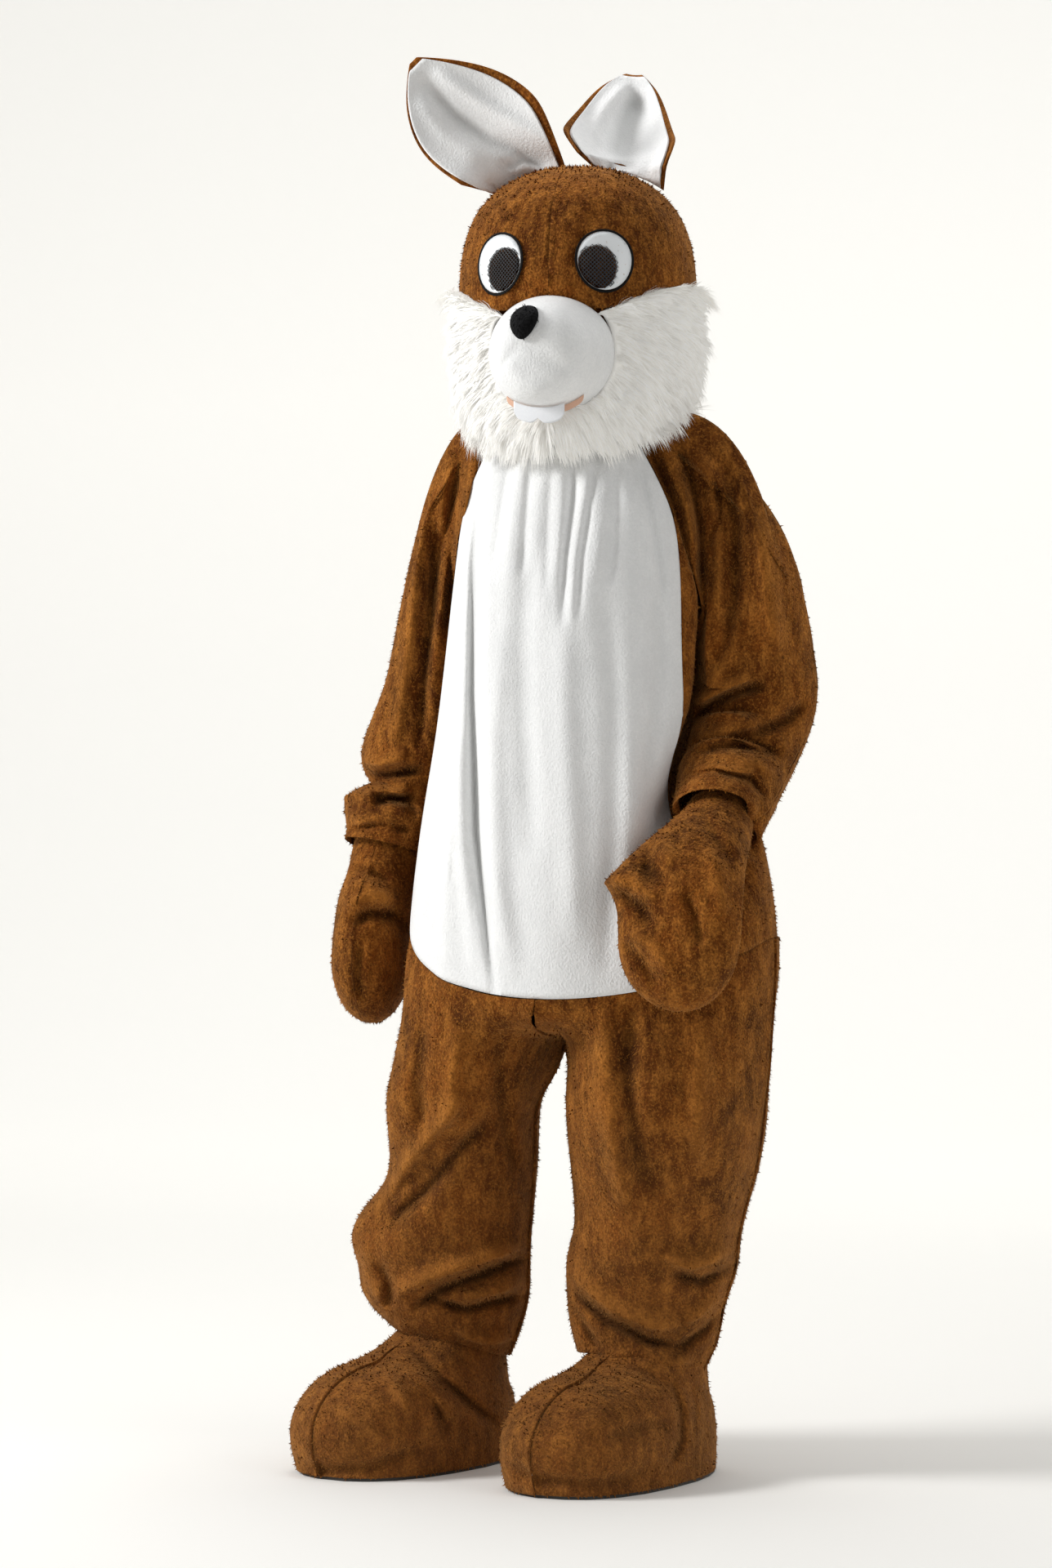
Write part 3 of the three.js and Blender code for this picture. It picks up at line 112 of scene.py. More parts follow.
def coordinates(mesh):
    """A row of x, y and z for each vertex."""
    places = np.empty(len(mesh.vertices) * 3, np.float32)
    mesh.vertices.foreach_get("co", places)
    return places.reshape(-1, 3).astype(float)


def move_to(mesh, places):
    """Moves each vertex to its place."""
    mesh.vertices.foreach_set("co", places.astype(np.float32).ravel())
    mesh.update()


def normals(mesh):
    """The way that each vertex faces."""
    ways = np.empty(len(mesh.vertices) * 3, np.float32)
    mesh.vertex_normals.foreach_get("vector", ways)
    return ways.reshape(-1, 3).astype(float)


def put_in_scene(name, mesh):
    """A new object for a mesh."""
    piece = bpy.data.objects.new(name, mesh)
    bpy.context.scene.collection.objects.link(piece)
    return piece


def finish_mesh(piece):
    """Turns what the piece's modifiers make into its mesh."""
    seen = piece.evaluated_get(bpy.context.evaluated_depsgraph_get())
    piece.data = bpy.data.meshes.new_from_object(seen)
    piece.modifiers.clear()


def on_rim(face):
    """Tells the narrow faces along a cut edge."""
    return min(edge.calc_length() for edge in face.edges) < RIM_WIDTH


def panel(node, levels=3, rounding=0.0, soften=None, tuck=None):
    """A finer, smooth copy of a panel, with its edges kept where the seams are. soften is how often the
    cloth between two heights is smoothed, and tuck draws an open end in: its way, its middle, how far."""
    bm = bmesh.new()
    bm.from_mesh(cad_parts[node].data)
    bmesh.ops.remove_doubles(bm, verts=bm.verts, dist=1e-5)
    bmesh.ops.join_triangles(
        bm, faces=bm.faces, angle_face_threshold=CREASE_ANGLE, angle_shape_threshold=PATCH_ANGLE
    )
    crease = bm.edges.layers.float.new("crease_edge")
    for edge in bm.edges:
        sharp = len(edge.link_faces) == 2 and edge.calc_face_angle() > CREASE_ANGLE
        beside_rim = any(on_rim(f) for f in edge.link_faces)
        if sharp and (beside_rim or not soften):
            edge[crease] = 1.0 - rounding
    if tuck:
        way, middle, far = Vector(tuck[0]).normalized(), Vector(tuck[1]), tuck[2]
        end = [f for f in bm.faces if f.normal.dot(way) > END_FACING and on_rim(f)]
        for vert in {v for f in end for v in f.verts}:
            inward = middle - vert.co
            inward -= way * inward.dot(way)
            vert.co += inward.normalized() * far
    times, low, high = soften or (0, 0, 0)
    for _ in range(times):
        free = [v for v in bm.verts if low < v.co.z < high and all(e[crease] == 0 for e in v.link_edges)]
        bmesh.ops.smooth_vert(bm, verts=free, factor=0.5, use_axis_x=True, use_axis_y=True, use_axis_z=True)
    mesh = bpy.data.meshes.new(node + "_cloth")
    bm.to_mesh(mesh)
    bm.free()
    piece = put_in_scene(node + "_cloth", mesh)
    finer = piece.modifiers.new("Subdivision", "SUBSURF")
    finer.levels = finer.render_levels = levels
    finish_mesh(piece)
    piece.data.name = node + "_cloth"
    piece.data.shade_smooth()
    piece["node"] = node
    return piece


def press(piece, folds, view=in_photo, way=TOWARDS, depth=1.0, sag=0.0):
    """Each fold is a width, a height in millimetres towards the view, and the line that it follows. Raised
    folds hang over by sag times their height."""
    places = coordinates(piece.data)
    x, y = view(places)
    spots = np.stack([x, y], 1)
    facing = np.clip(np.abs(normals(piece.data) @ way) * FOLD_GAIN - FOLD_LOSS, 0, 1)
    height = np.zeros(len(places))
    for wide, tall, line in folds:
        line = np.array(line, float)
        steps = np.linalg.norm(np.diff(line, axis=0), axis=1)
        nearest = np.full(len(places), 1e9)
        along = np.zeros(len(places))
        for k, step in enumerate(steps):
            run = line[k + 1] - line[k]
            share = np.clip((spots - line[k]) @ run / step**2, 0, 1)
            off = np.linalg.norm(spots - line[k] - share[:, None] * run, axis=1)
            closer = off < nearest
            nearest[closer] = off[closer]
            along[closer] = ((steps[:k].sum() + share * step) / steps.sum())[closer]
        ends = np.clip(4 * along * (1 - along) * FOLD_FULLNESS, 0, 1) ** FOLD_ROUNDNESS
        height += tall / 1000 * np.exp(-((nearest / wide) ** 2)) * ends
    height *= facing * depth
    # The fold heights are kept as the ridge attribute, from which the plush paints highlight on ridges and
    # shade in troughs.
    if "ridge" not in piece.data.attributes:
        piece.data.attributes.new("ridge", "FLOAT", "POINT")
    ridge = np.zeros(len(places), np.float32)
    piece.data.attributes["ridge"].data.foreach_get("value", ridge)
    ridge = (ridge + height * RIDGE_SCALE).astype(np.float32)
    piece.data.attributes["ridge"].data.foreach_set("value", ridge)
    places += height[:, None] * way
    places[:, 2] -= sag * np.clip(height, 0, None)
    move_to(piece.data, places)
    return piece


def dress(piece, node, material):
    """Hangs the piece on its node's body and gives it the node's finish."""
    piece.data.materials.clear()
    piece.data.materials.append(material)
    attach(piece, "root")
    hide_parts(node)
    return piece


def outer_spots(piece, count, seed, outward):
    """Random spots on the piece's outer faces, with their normals and the vertex beside each. outward
    tells the outer faces."""
    mesh = piece.data
    mesh.calc_loop_triangles()
    corners = np.empty(len(mesh.loop_triangles) * 3, np.int32)
    mesh.loop_triangles.foreach_get("vertices", corners)
    triangles = coordinates(mesh)[corners.reshape(-1, 3)]
    cross = np.cross(triangles[:, 1] - triangles[:, 0], triangles[:, 2] - triangles[:, 0])
    area = np.linalg.norm(cross, axis=1) / 2 + 1e-12
    way = cross / (2 * area)[:, None]
    outer = np.sum(way * outward(triangles.mean(1)), axis=1) > OUTER_FACING
    generator = np.random.default_rng(seed)
    chosen = generator.choice(np.nonzero(outer)[0], count, p=area[outer] / area[outer].sum())
    s, t = generator.random(count), generator.random(count)
    s, t = np.where(s + t > 1, 1 - s, s), np.where(s + t > 1, 1 - t, t)
    a, b, c = triangles[chosen].transpose(1, 0, 2)
    beside = corners.reshape(-1, 3)[chosen][:, 0]
    return a + s[:, None] * (b - a) + t[:, None] * (c - a), way[chosen], beside, generator


def unit(vectors):
    """The same ways, each one long."""
    return vectors / (np.linalg.norm(vectors, axis=-1, keepdims=True) + 1e-12)


def strands(name, roots, ways, ups, lengths, wide, steps, curl):
    """Flat tapering strands: each starts at a root, goes its own way and bends towards curl. They catch the
    light as the cloth under them does, because hair lets light through."""
    flat = unit(np.cross(ways, ups))
    levels = np.linspace(0, 1, steps + 1)
    rings = []
    for s in levels[:-1]:
        middle = roots + ways * (lengths * s)[:, None] + curl * (lengths * s * s)[:, None]
        half = flat * (wide / 2 * (1 - STRAND_TAPER * s))
        rings += [middle - half, middle + half]
    rings.append(roots + ways * lengths[:, None] + curl * lengths[:, None])
    places = np.stack(rings, 1)
    count, size = places.shape[:2]
    quads = [(2 * k, 2 * k + 1, 2 * k + 3, 2 * k + 2) for k in range(steps - 1)]
    last = (2 * steps - 2, 2 * steps - 1, 2 * steps)
    starts = np.arange(count)[:, None] * size
    faces = [list(face) for quad in quads for face in (starts + np.array(quad)).tolist()]
    faces += (starts + np.array(last)).tolist()
    mesh = bpy.data.meshes.new(name)
    mesh.from_pydata(places.reshape(-1, 3).tolist(), [], faces)
    mesh.shade_smooth()
    lit = unit(ups + ways * STRAND_LEAN)
    mesh.normals_split_custom_set_from_vertices(np.repeat(lit, size, axis=0).tolist())
    tip = mesh.attributes.new("tip", "FLOAT", "POINT")
    tip.data.foreach_set("value", np.tile(np.append(np.repeat(levels[:-1], 2), 1.0), count))
    return put_in_scene(name, mesh)


def away_from(line):
    """Ways out from the middle of a tube of cloth, whose middle follows a line."""
    line = np.array(line, float)

    def outward(points):
        nearest = np.full(len(points), 1e9)
        ways = np.zeros(points.shape)
        for start, end in zip(line[:-1], line[1:]):
            run = end - start
            share = np.clip((points - start) @ run / (run @ run), 0, 1)
            off = points - start - share[:, None] * run
            far = np.linalg.norm(off, axis=1)
            closer = far < nearest
            nearest[closer] = far[closer]
            ways[closer] = off[closer]
        return unit(ways)

    return outward


def pile(piece, node, middle, material, seed):
    """The longest tufts of the pile: flat tapering strands that lie down along the nap."""
    area = np.empty(len(piece.data.polygons), np.float32)
    piece.data.polygons.foreach_get("area", area)
    count = int(area.sum() / 2 * PILE_TUFTS)
    roots, ups, beside, generator = outer_spots(piece, count, seed, away_from(middle))
    nap = np.array([0, 0, -1.0]) - ups * -ups[:, 2:]
    ways = unit(nap * PILE_ALONG + ups * PILE_OUT + generator.normal(0, PILE_STRAY, roots.shape))
    lengths = generator.uniform(*PILE_SPREAD, count) * PILE_LENGTH
    roots = roots - ups * PILE_ROOT
    tufts = strands(f"{node}_pile", roots, ways, ups, lengths, PILE_WIDTH, 1, ups * PILE_CURL)
    # Each tuft carries the fold height under it, so that the painted fold shade and highlight reach the
    # pile too.
    ridge = np.zeros(len(piece.data.vertices), np.float32)
    if "ridge" in piece.data.attributes:
        piece.data.attributes["ridge"].data.foreach_get("value", ridge)
    carried = tufts.data.attributes.new("ridge", "FLOAT", "POINT")
    carried.data.foreach_set("value", np.repeat(ridge[beside], 3))
    tufts.data.materials.append(material)
    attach(tufts, "root")


def node_material(name, roughness=0.9):
    """A new material, its nodes, its shader and the places on the object that patterns are read by."""
    material = bpy.data.materials.new(name)
    material.use_nodes = True
    tree = material.node_tree
    shader = tree.nodes["Principled BSDF"]
    shader.inputs["Roughness"].default_value = roughness
    place = tree.nodes.new("ShaderNodeTexCoord")
    return material, tree, shader, place.outputs["Object"]


def noise(tree, place, scale, detail=3.0, roughness=0.55, stretch=None):
    """An uneven pattern. stretch makes it longer where its numbers are small."""
    texture = tree.nodes.new("ShaderNodeTexNoise")
    texture.inputs["Scale"].default_value = scale
    texture.inputs["Detail"].default_value = detail
    texture.inputs["Roughness"].default_value = roughness
    if stretch:
        mapping = tree.nodes.new("ShaderNodeMapping")
        mapping.inputs["Scale"].default_value = stretch
        tree.links.new(place, mapping.inputs["Vector"])
        place = mapping.outputs["Vector"]
    tree.links.new(place, texture.inputs["Vector"])
    return texture.outputs["Fac"]


def between(tree, value, low, high, first, last):
    """Maps low..high of a value to first..last."""
    node = tree.nodes.new("ShaderNodeMapRange")
    for socket, number in zip(("From Min", "From Max", "To Min", "To Max"), (low, high, first, last)):
        node.inputs[socket].default_value = number
    tree.links.new(value, node.inputs["Value"])
    return node.outputs["Result"]


def blend(tree, share, first, second):
    """Mixes two colours, each a colour or another node's output."""
    node = tree.nodes.new("ShaderNodeMix")
    node.data_type = "RGBA"
    tree.links.new(share, node.inputs["Factor"])
    for socket, colour in (("A", first), ("B", second)):
        target = [s for s in node.inputs if s.name == socket and s.type == "RGBA"][0]
        if isinstance(colour, tuple):
            target.default_value = (*colour, 1)
        else:
            tree.links.new(colour, target)
    return [s for s in node.outputs if s.type == "RGBA"][0]


def raise_bumps(tree, shader, heights):
    """Bumps from several heights, each with a depth in metres, one on the other."""
    under = None
    for height, depth, strength in heights:
        bump = tree.nodes.new("ShaderNodeBump")
        bump.inputs["Distance"].default_value = depth
        bump.inputs["Strength"].default_value = strength
        tree.links.new(height, bump.inputs["Height"])
        if under:
            tree.links.new(under, bump.inputs["Normal"])
        under = bump.outputs["Normal"]
    tree.links.new(under, shader.inputs["Normal"])


PATCH_SCALE = 11
STROKE_SCALE = 60
GRAIN_SCALE = 420
GRAIN_DEPTH = 0.0014
CURL_SCALE = 310
CURL_DEPTH = 0.003
BUMP_STRENGTH = 0.7
DULL_FROM = -0.75  # the trousers grow duller from here
DULL_TO = -1.4
DULL_MOST = 0.3


def plush(name, deep, body, bright, trough_shade, sheen, tint, low=None, fold_shading=0.8, nap=1.0):
    """Short pile: brushed patches lie darker or brighter, and the tips of the pile make a fine grain. Fold
    ridges get a painted highlight and fold troughs a painted shade.
    """
    material, tree, shader, place = node_material(name)
    patches = between(tree, noise(tree, place, PATCH_SCALE, 5, 0.6), 0.36, 0.66, 0, 1)
    strokes = between(tree, noise(tree, place, STROKE_SCALE, 4, 0.65, (1, 1, 0.45)), 0.35, 0.7, 0, 1)
    grain = noise(tree, place, GRAIN_SCALE, 2, 0.6, (1, 1, 0.6))
    curls = noise(tree, place, CURL_SCALE, 2, 0.5)
    colour = blend(tree, patches, deep, body)
    colour = blend(tree, between(tree, strokes, 0.2, 1, 0, 0.6), colour, bright)
    colour = blend(tree, between(tree, grain, 0.62, 0.4, 0, 0.35), colour, deep)
    colour = blend(tree, between(tree, curls, 0.5, 0.34, 0, 0.5), colour, deep)
    colour = blend(tree, between(tree, curls, 0.55, 0.7, 0, 0.35), colour, bright)
    ridge = tree.nodes.new("ShaderNodeAttribute")
    ridge.attribute_name = "ridge"
    # Painted light from the fold heights: a painted highlight on raised folds and painted shade in the
    # troughs.
    colour = blend(tree, between(tree, ridge.outputs["Fac"], 0.2, 1.6, 0, 0.45 * fold_shading), colour, bright)
    colour = blend(tree, between(tree, ridge.outputs["Fac"], -0.3, -1.7, 0, fold_shading), colour, trough_shade)
    tip = tree.nodes.new("ShaderNodeAttribute")
    tip.attribute_name = "tip"
    colour = blend(tree, between(tree, tip.outputs["Fac"], 0, 1, 0, 0.55), colour, bright)
    if low:
        height = tree.nodes.new("ShaderNodeSeparateXYZ")
        tree.links.new(place, height.inputs["Vector"])
        share = between(tree, height.outputs["Z"], DULL_FROM, DULL_TO, 0, DULL_MOST)
        colour = blend(tree, share, colour, low)
    tree.links.new(colour, shader.inputs["Base Color"])
    shader.inputs["Specular IOR Level"].default_value = 0.06
    shader.inputs["Sheen Weight"].default_value = sheen
    shader.inputs["Sheen Roughness"].default_value = 0.45
    shader.inputs["Sheen Tint"].default_value = (*tint, 1)
    strength = BUMP_STRENGTH * nap
    raise_bumps(tree, shader, [(curls, CURL_DEPTH * nap, strength), (grain, GRAIN_DEPTH, strength)])
    return material


brown_plush = plush(
    "brown_plush",
    deep=(0.06, 0.014, 0.002),
    body=(0.23, 0.066, 0.008),
    bright=(0.6, 0.23, 0.04),
    # painted shade colour for the fold troughs
    trough_shade=(0.012, 0.003, 0.001),
    sheen=0.36,
    tint=(1.0, 0.52, 0.18),
    low=(0.2, 0.088, 0.03),
)
white_plush = plush(
    "white_plush",
    deep=(0.8, 0.805, 0.805),
    body=(0.88, 0.885, 0.88),
    bright=(0.93, 0.93, 0.925),
    # painted shade colour for the fold troughs
    trough_shade=(0.6, 0.605, 0.6),
    sheen=0.2,
    tint=(1.0, 1.0, 1.0),
    nap=0.7,
)

BELLY_FOLDS = [
    (5, -11, [(586, 570), (579, 686), (578, 852), (583, 1018), (598, 1160), (606, 1222)]),
    (9, 7, [(572, 620), (562, 740), (560, 880), (566, 1040), (582, 1190)]),
    (9, 4, [(600, 700), (594, 860), (600, 1040), (616, 1180)]),
    (12, 5, [(612, 760), (604, 900), (612, 1080), (628, 1200)]),
    (5, -3, [(626, 556), (616, 610), (604, 690)]),
    (7, 2, [(638, 556), (628, 610), (620, 690)]),
    (5, -3, [(650, 556), (645, 610), (638, 710)]),
    (7, 2, [(663, 556), (658, 620), (652, 700)]),
    (5, -2, [(676, 556), (672, 620), (668, 730)]),
    (7, 2, [(690, 556), (687, 620), (680, 720)]),
    (5, -4, [(704, 556), (701, 610), (692, 680), (688, 770)]),
    (7, 3, [(717, 556), (712, 620), (703, 700), (700, 770)]),
    (5, -4, [(730, 556), (724, 610), (712, 680), (706, 760)]),
    (7, 2, [(744, 556), (740, 620), (728, 710)]),
    (5, -2, [(757, 560), (756, 620), (748, 720)]),
    (5, -4, [(780, 560), (792, 610), (806, 680), (814, 740)]),
    (14, -5, [(650, 660), (640, 760), (642, 900), (652, 1050)]),
    (16, 4, [(690, 720), (690, 860), (698, 1000), (704, 1160)]),
    (14, -4, [(742, 720), (752, 860), (752, 1000), (742, 1200)]),
    (14, -4, [(800, 700), (808, 800), (800, 900), (786, 980)]),
]
BACK_FOLDS = [
    (16, -8, [(-130, 60), (-120, 220), (-128, 400), (-118, 600)]),
    (16, 6, [(-95, 40), (-90, 240), (-96, 460), (-92, 640)]),
    (14, -7, [(-60, 30), (-56, 260), (-64, 520)]),
    (16, -8, [(110, 60), (118, 230), (108, 430), (116, 640)]),
    (16, 6, [(80, 40), (86, 240), (78, 460), (84, 660)]),
    (14, -7, [(52, 30), (58, 260), (50, 520)]),
    (20, 6, [(-180, 560), (-100, 610), (-20, 600)]),
    (18, -7, [(-170, 610), (-90, 655), (-20, 650)]),
    (20, 6, [(180, 540), (110, 600), (30, 610)]),
    (18, -7, [(170, 600), (110, 650), (30, 660)]),
]
belly = press(panel("front_belly"), BELLY_FOLDS, depth=1.5)
dress(belly, "front_belly", white_plush)

BACKS = [("back_left", 0.265), ("back_right", 0.235)]
TRUNK_MIDDLE = [(0.0, 0.0, 0.0), (0.0, 0.0, -0.9)]
for seed, (node, area) in enumerate(BACKS, 10):
    back = press(panel(node, levels=2), BACK_FOLDS, from_behind, BEHIND)
    dress(back, node, brown_plush)
    pile(back, node, TRUNK_MIDDLE, brown_plush, seed)
placket = press(panel("back_placket", levels=2), BACK_FOLDS[2:3] + BACK_FOLDS[5:6], from_behind, BEHIND)
dress(placket, "back_placket", brown_plush)

# The sleeves: a front and a back each, set in by raglan seams that run from the neck to the underarm. They
# are long and wide, so they pile up in rolls above the wrists and break at the elbow.
SLEEVE_FOLDS = {
    "left": [
        (6, -7, [(786, 530), (800, 560), (822, 610), (836, 660), (842, 720)]),
        (6, 5, [(800, 524), (818, 560), (842, 620), (852, 680)]),
        (6, -8, [(826, 530), (846, 580), (858, 650), (860, 740)]),
        (7, 5, [(850, 530), (872, 590), (880, 670), (876, 760)]),
        (8, -6, [(886, 560), (902, 640), (900, 730), (884, 820)]),
        (12, 6, [(930, 620), (946, 720), (952, 800)]),
        (8, -9, [(846, 885), (872, 862), (905, 846), (940, 838)]),
        (9, 7, [(850, 862), (880, 842), (920, 826)]),
        (8, -9, [(850, 925), (885, 915), (925, 915), (958, 925)]),
        (9, 7, [(852, 905), (888, 893), (930, 890)]),
        (8, 8, [(846, 945), (885, 938), (925, 940)]),
        (9, -8, [(990, 855), (965, 880), (930, 895), (890, 900)]),
        (5, -8, [(838, 950), (876, 942), (918, 954), (940, 978)]),
        (7, 6, [(846, 928), (884, 920), (926, 930), (950, 950)]),
        (8, 6, [(904, 768), (888, 806), (866, 838), (850, 848)]),
        (4, -6, [(878, 580), (882, 628), (866, 670)]),
    ],
    "right": [
        (6, -7, [(566, 552), (556, 600), (556, 660), (552, 720), (545, 800)]),
        (6, 6, [(580, 548), (572, 590), (572, 640)]),
        (6, -7, [(594, 540), (588, 580), (580, 630)]),
        (6, 5, [(552, 556), (543, 600), (541, 660)]),
        (7, -7, [(532, 640), (530, 720), (520, 830), (512, 920)]),
        (9, 6, [(512, 680), (504, 760), (492, 850), (480, 920)]),
        (7, -9, [(436, 944), (460, 952), (490, 946), (520, 940)]),
        (8, 7, [(434, 925), (465, 930), (500, 922)]),
        (7, -8, [(455, 986), (475, 976), (500, 984), (512, 1000)]),
        (8, 7, [(440, 966), (470, 962), (505, 966)]),
        (8, 6, [(424, 1008), (455, 1002), (490, 1016)]),
        (7, -7, [(418, 1036), (450, 1040), (484, 1052)]),
        (5, -7, [(452, 968), (470, 980), (492, 978), (510, 970)]),
        (5, -7, [(424, 1016), (463, 1008), (504, 1018)]),
    ],
}
SLEEVE_REAR_FOLDS = [
    (12, -8, [(-320, 330), (-250, 350), (-190, 330)]),
    (12, 7, [(-320, 370), (-250, 392), (-190, 372)]),
    (12, -8, [(-330, 420), (-260, 440), (-190, 424)]),
    (12, 7, [(-320, 470), (-260, 484), (-200, 470)]),
    (10, -8, [(210, 480), (270, 500), (340, 490)]),
    (10, 7, [(210, 520), (280, 536), (350, 524)]),
    (10, -8, [(220, 560), (290, 574), (360, 562)]),
    (14, -6, [(250, 100), (270, 240), (290, 400)]),
    (14, -6, [(-220, 100), (-236, 220), (-240, 320)]),
]
SLEEVE_ENDS = {
    "left": ((0, -0.76, -0.65), (0.23, -0.106, -0.564), 0.018),
    "right": ((-0.16, -0.28, -0.94), (-0.285, 0.042, -0.612), 0.024),
}
SLEEVE_MIDDLES = {
    "left": [(0.13, 0.01, -0.05), (0.225, 0.014, -0.2), (0.235, 0.01, -0.44), (0.23, -0.106, -0.564)],
    "right": [(-0.13, 0.03, -0.05), (-0.2, 0.066, -0.25), (-0.245, 0.073, -0.45), (-0.291, 0.045, -0.62)],
}
SLEEVES = [
    ("left", "front", 0.16),
    ("left", "back", 0.178),
    ("right", "front", 0.146),
    ("right", "back", 0.15),
]
for seed, (side, half, area) in enumerate(SLEEVES, 20):
    node = f"sleeve_{side}_{half}"
    sleeve = panel(node, levels=3 if half == "front" else 2, tuck=SLEEVE_ENDS[side])
    press(sleeve, SLEEVE_FOLDS[side], depth=1.9, sag=0.4)
    if half == "back":
        press(sleeve, SLEEVE_REAR_FOLDS, from_behind, BEHIND, depth=1.4)
    dress(sleeve, node, brown_plush)
    pile(sleeve, node, SLEEVE_MIDDLES[side], brown_plush, seed)

# The mittens: a back and a palm each, the thumb cut in one with them. They are cut large, so the plush
# creases across the wrist and sinks between thumb and fingers.
MITTEN_FOLDS = {
    "left": [
        (7, -9, [(742, 1096), (765, 1098), (786, 1112), (799, 1134)]),
        (9, 6, [(742, 1076), (775, 1080), (805, 1100)]),
        (8, -8, [(800, 1006), (790, 1030), (795, 1060), (815, 1085)]),
        (9, 6, [(820, 1000), (812, 1030), (822, 1058)]),
        (8, -7, [(766, 1050), (788, 1064), (800, 1090)]),
        (8, -7, [(838, 1090), (850, 1120), (858, 1160)]),
        (10, 5, [(868, 1040), (882, 1080), (884, 1130)]),
        (8, -6, [(860, 1000), (880, 1030), (900, 1060)]),
        (9, 6, [(770, 1140), (800, 1160), (820, 1190)]),
        (8, -6, [(756, 1150), (786, 1176), (806, 1210)]),
    ],
    "right": [
        (6, -7, [(424, 1062), (450, 1066), (478, 1080)]),
        (7, 6, [(424, 1080), (452, 1086), (480, 1098)]),
        (8, -10, [(428, 1130), (452, 1118), (480, 1122), (500, 1136)]),
        (8, 7, [(420, 1108), (450, 1098), (486, 1104)]),
        (7, -6, [(440, 1150), (436, 1190), (440, 1225)]),
    ],
}
MITTEN_MIDDLES = {
    "left": [(0.22, -0.15, -0.6), (0.211, -0.227, -0.8)],
    "right": [(-0.29, 0.03, -0.64), (-0.303, 0.018, -0.82)],
}
MITTENS = [
    ("left", "back", 0.068),
    ("left", "palm", 0.058),
    ("right", "back", 0.055),
    ("right", "palm", 0.053),
]
for seed, (side, half, area) in enumerate(MITTENS, 30):
    node = f"mitten_{side}_{half}"
    mitten = press(panel(node), MITTEN_FOLDS[side], depth=1.6)
    dress(mitten, node, brown_plush)
    pile(mitten, node, MITTEN_MIDDLES[side], brown_plush, seed)

# The trousers: a front and a back to each leg, cut wide and much too long, so that the plush falls in
# rolls over the shoes. The crotch hangs low between the legs.
LEG_FOLDS = {
    "left": [
        (13, -8, [(772, 1226), (768, 1300), (776, 1400), (800, 1470)]),
        (14, 7, [(742, 1230), (736, 1310), (748, 1400), (768, 1480)]),
        (13, 6, [(864, 1240), (856, 1330), (852, 1430)]),
        (6, -14, [(688, 1572), (716, 1596), (745, 1619), (794, 1643), (832, 1648)]),
        (9, 10, [(692, 1550), (722, 1574), (752, 1597), (800, 1617), (834, 1621)]),
        (6, -13, [(908, 1544), (882, 1560), (858, 1570), (822, 1560)]),
        (9, 11, [(910, 1522), (876, 1534), (846, 1543), (812, 1534)]),
        (5, -12, [(886, 1604), (864, 1628), (840, 1646), (822, 1656)]),
        (8, 8, [(890, 1582), (862, 1600), (836, 1616)]),
        (5, -11, [(698, 1592), (712, 1620), (732, 1650)]),
        (7, 8, [(732, 1658), (790, 1668), (850, 1662)]),
        (5, -9, [(716, 1664), (760, 1684), (824, 1690)]),
    ],
    "right": [
        (8, -10, [(604, 1366), (560, 1410), (520, 1460), (470, 1504)]),
        (10, 10, [(566, 1336), (530, 1380), (490, 1430), (450, 1488)]),
        (11, -7, [(520, 1240), (512, 1320), (518, 1392)]),
        (12, 6, [(562, 1250), (552, 1320), (552, 1380)]),
        (10, -7, [(610, 1260), (612, 1330), (622, 1400), (640, 1452)]),
        (6, -15, [(656, 1538), (614, 1552), (579, 1566), (540, 1580), (504, 1604)]),
        (9, 11, [(654, 1516), (606, 1530), (566, 1543), (520, 1560), (478, 1582)]),
        (5, -13, [(652, 1584), (604, 1596), (570, 1604), (528, 1592)]),
        (8, 9, [(650, 1564), (604, 1576), (562, 1586)]),
        (7, 9, [(556, 1626), (600, 1638), (644, 1630)]),
        (5, -11, [(496, 1630), (529, 1650), (579, 1668), (634, 1672)]),
        (10, 8, [(442, 1518), (450, 1560), (468, 1592)]),
        (6, -9, [(460, 1544), (478, 1574), (474, 1602)]),
    ],
}
LEG_REAR_FOLDS = [
    (12, -8, [(-230, 1130), (-150, 1150), (-60, 1140)]),
    (12, 8, [(-230, 1160), (-150, 1182), (-60, 1170)]),
    (12, -9, [(-220, 1196), (-140, 1214), (-50, 1200)]),
    (12, 8, [(-210, 1230), (-140, 1246), (-50, 1236)]),
    (12, -8, [(90, 1120), (190, 1140), (280, 1124)]),
    (12, 8, [(90, 1150), (190, 1172), (280, 1160)]),
    (12, -9, [(100, 1188), (190, 1204), (270, 1192)]),
    (12, 8, [(110, 1222), (190, 1238), (270, 1226)]),
    (14, -7, [(-200, 780), (-190, 900), (-180, 1060)]),
    (14, -7, [(-120, 800), (-110, 920), (-120, 1060)]),
    (14, -7, [(120, 780), (130, 900), (150, 1060)]),
    (14, -7, [(220, 800), (230, 920), (230, 1040)]),
    (16, -9, [(-150, 840), (-60, 870), (0, 880), (60, 870), (150, 840)]),
]
LEG_ENDS = {
    "left": ((0, 0, -1), (0.093, 0.022, -1.3), 0.014),
    "right": ((0, 0, -1), (-0.202, 0.07, -1.3), 0.012),
}
LEG_MIDDLES = {
    "left": [(0.09, 0.0, -0.75), (0.115, 0.02, -1.0), (0.1, 0.03, -1.4)],
    "right": [(-0.1, 0.0, -0.75), (-0.18, 0.025, -1.0), (-0.2, 0.066, -1.4)],
}
LEGS = [
    ("left", "front", 0.24),
    ("left", "back", 0.265),
    ("right", "front", 0.22),
    ("right", "back", 0.24),
]
for seed, (side, half, area) in enumerate(LEGS, 40):
    node = f"leg_{side}_{half}"
    leg = panel(node, 3 if half == "front" else 2, soften=(8, -0.93, -0.79), tuck=LEG_ENDS[side])
    press(leg, LEG_FOLDS[side], depth=1.6, sag=0.5)
    if half == "back":
        press(leg, LEG_REAR_FOLDS, from_behind, BEHIND, depth=1.5)
    dress(leg, node, brown_plush)
    pile(leg, node, LEG_MIDDLES[side], brown_plush, seed)

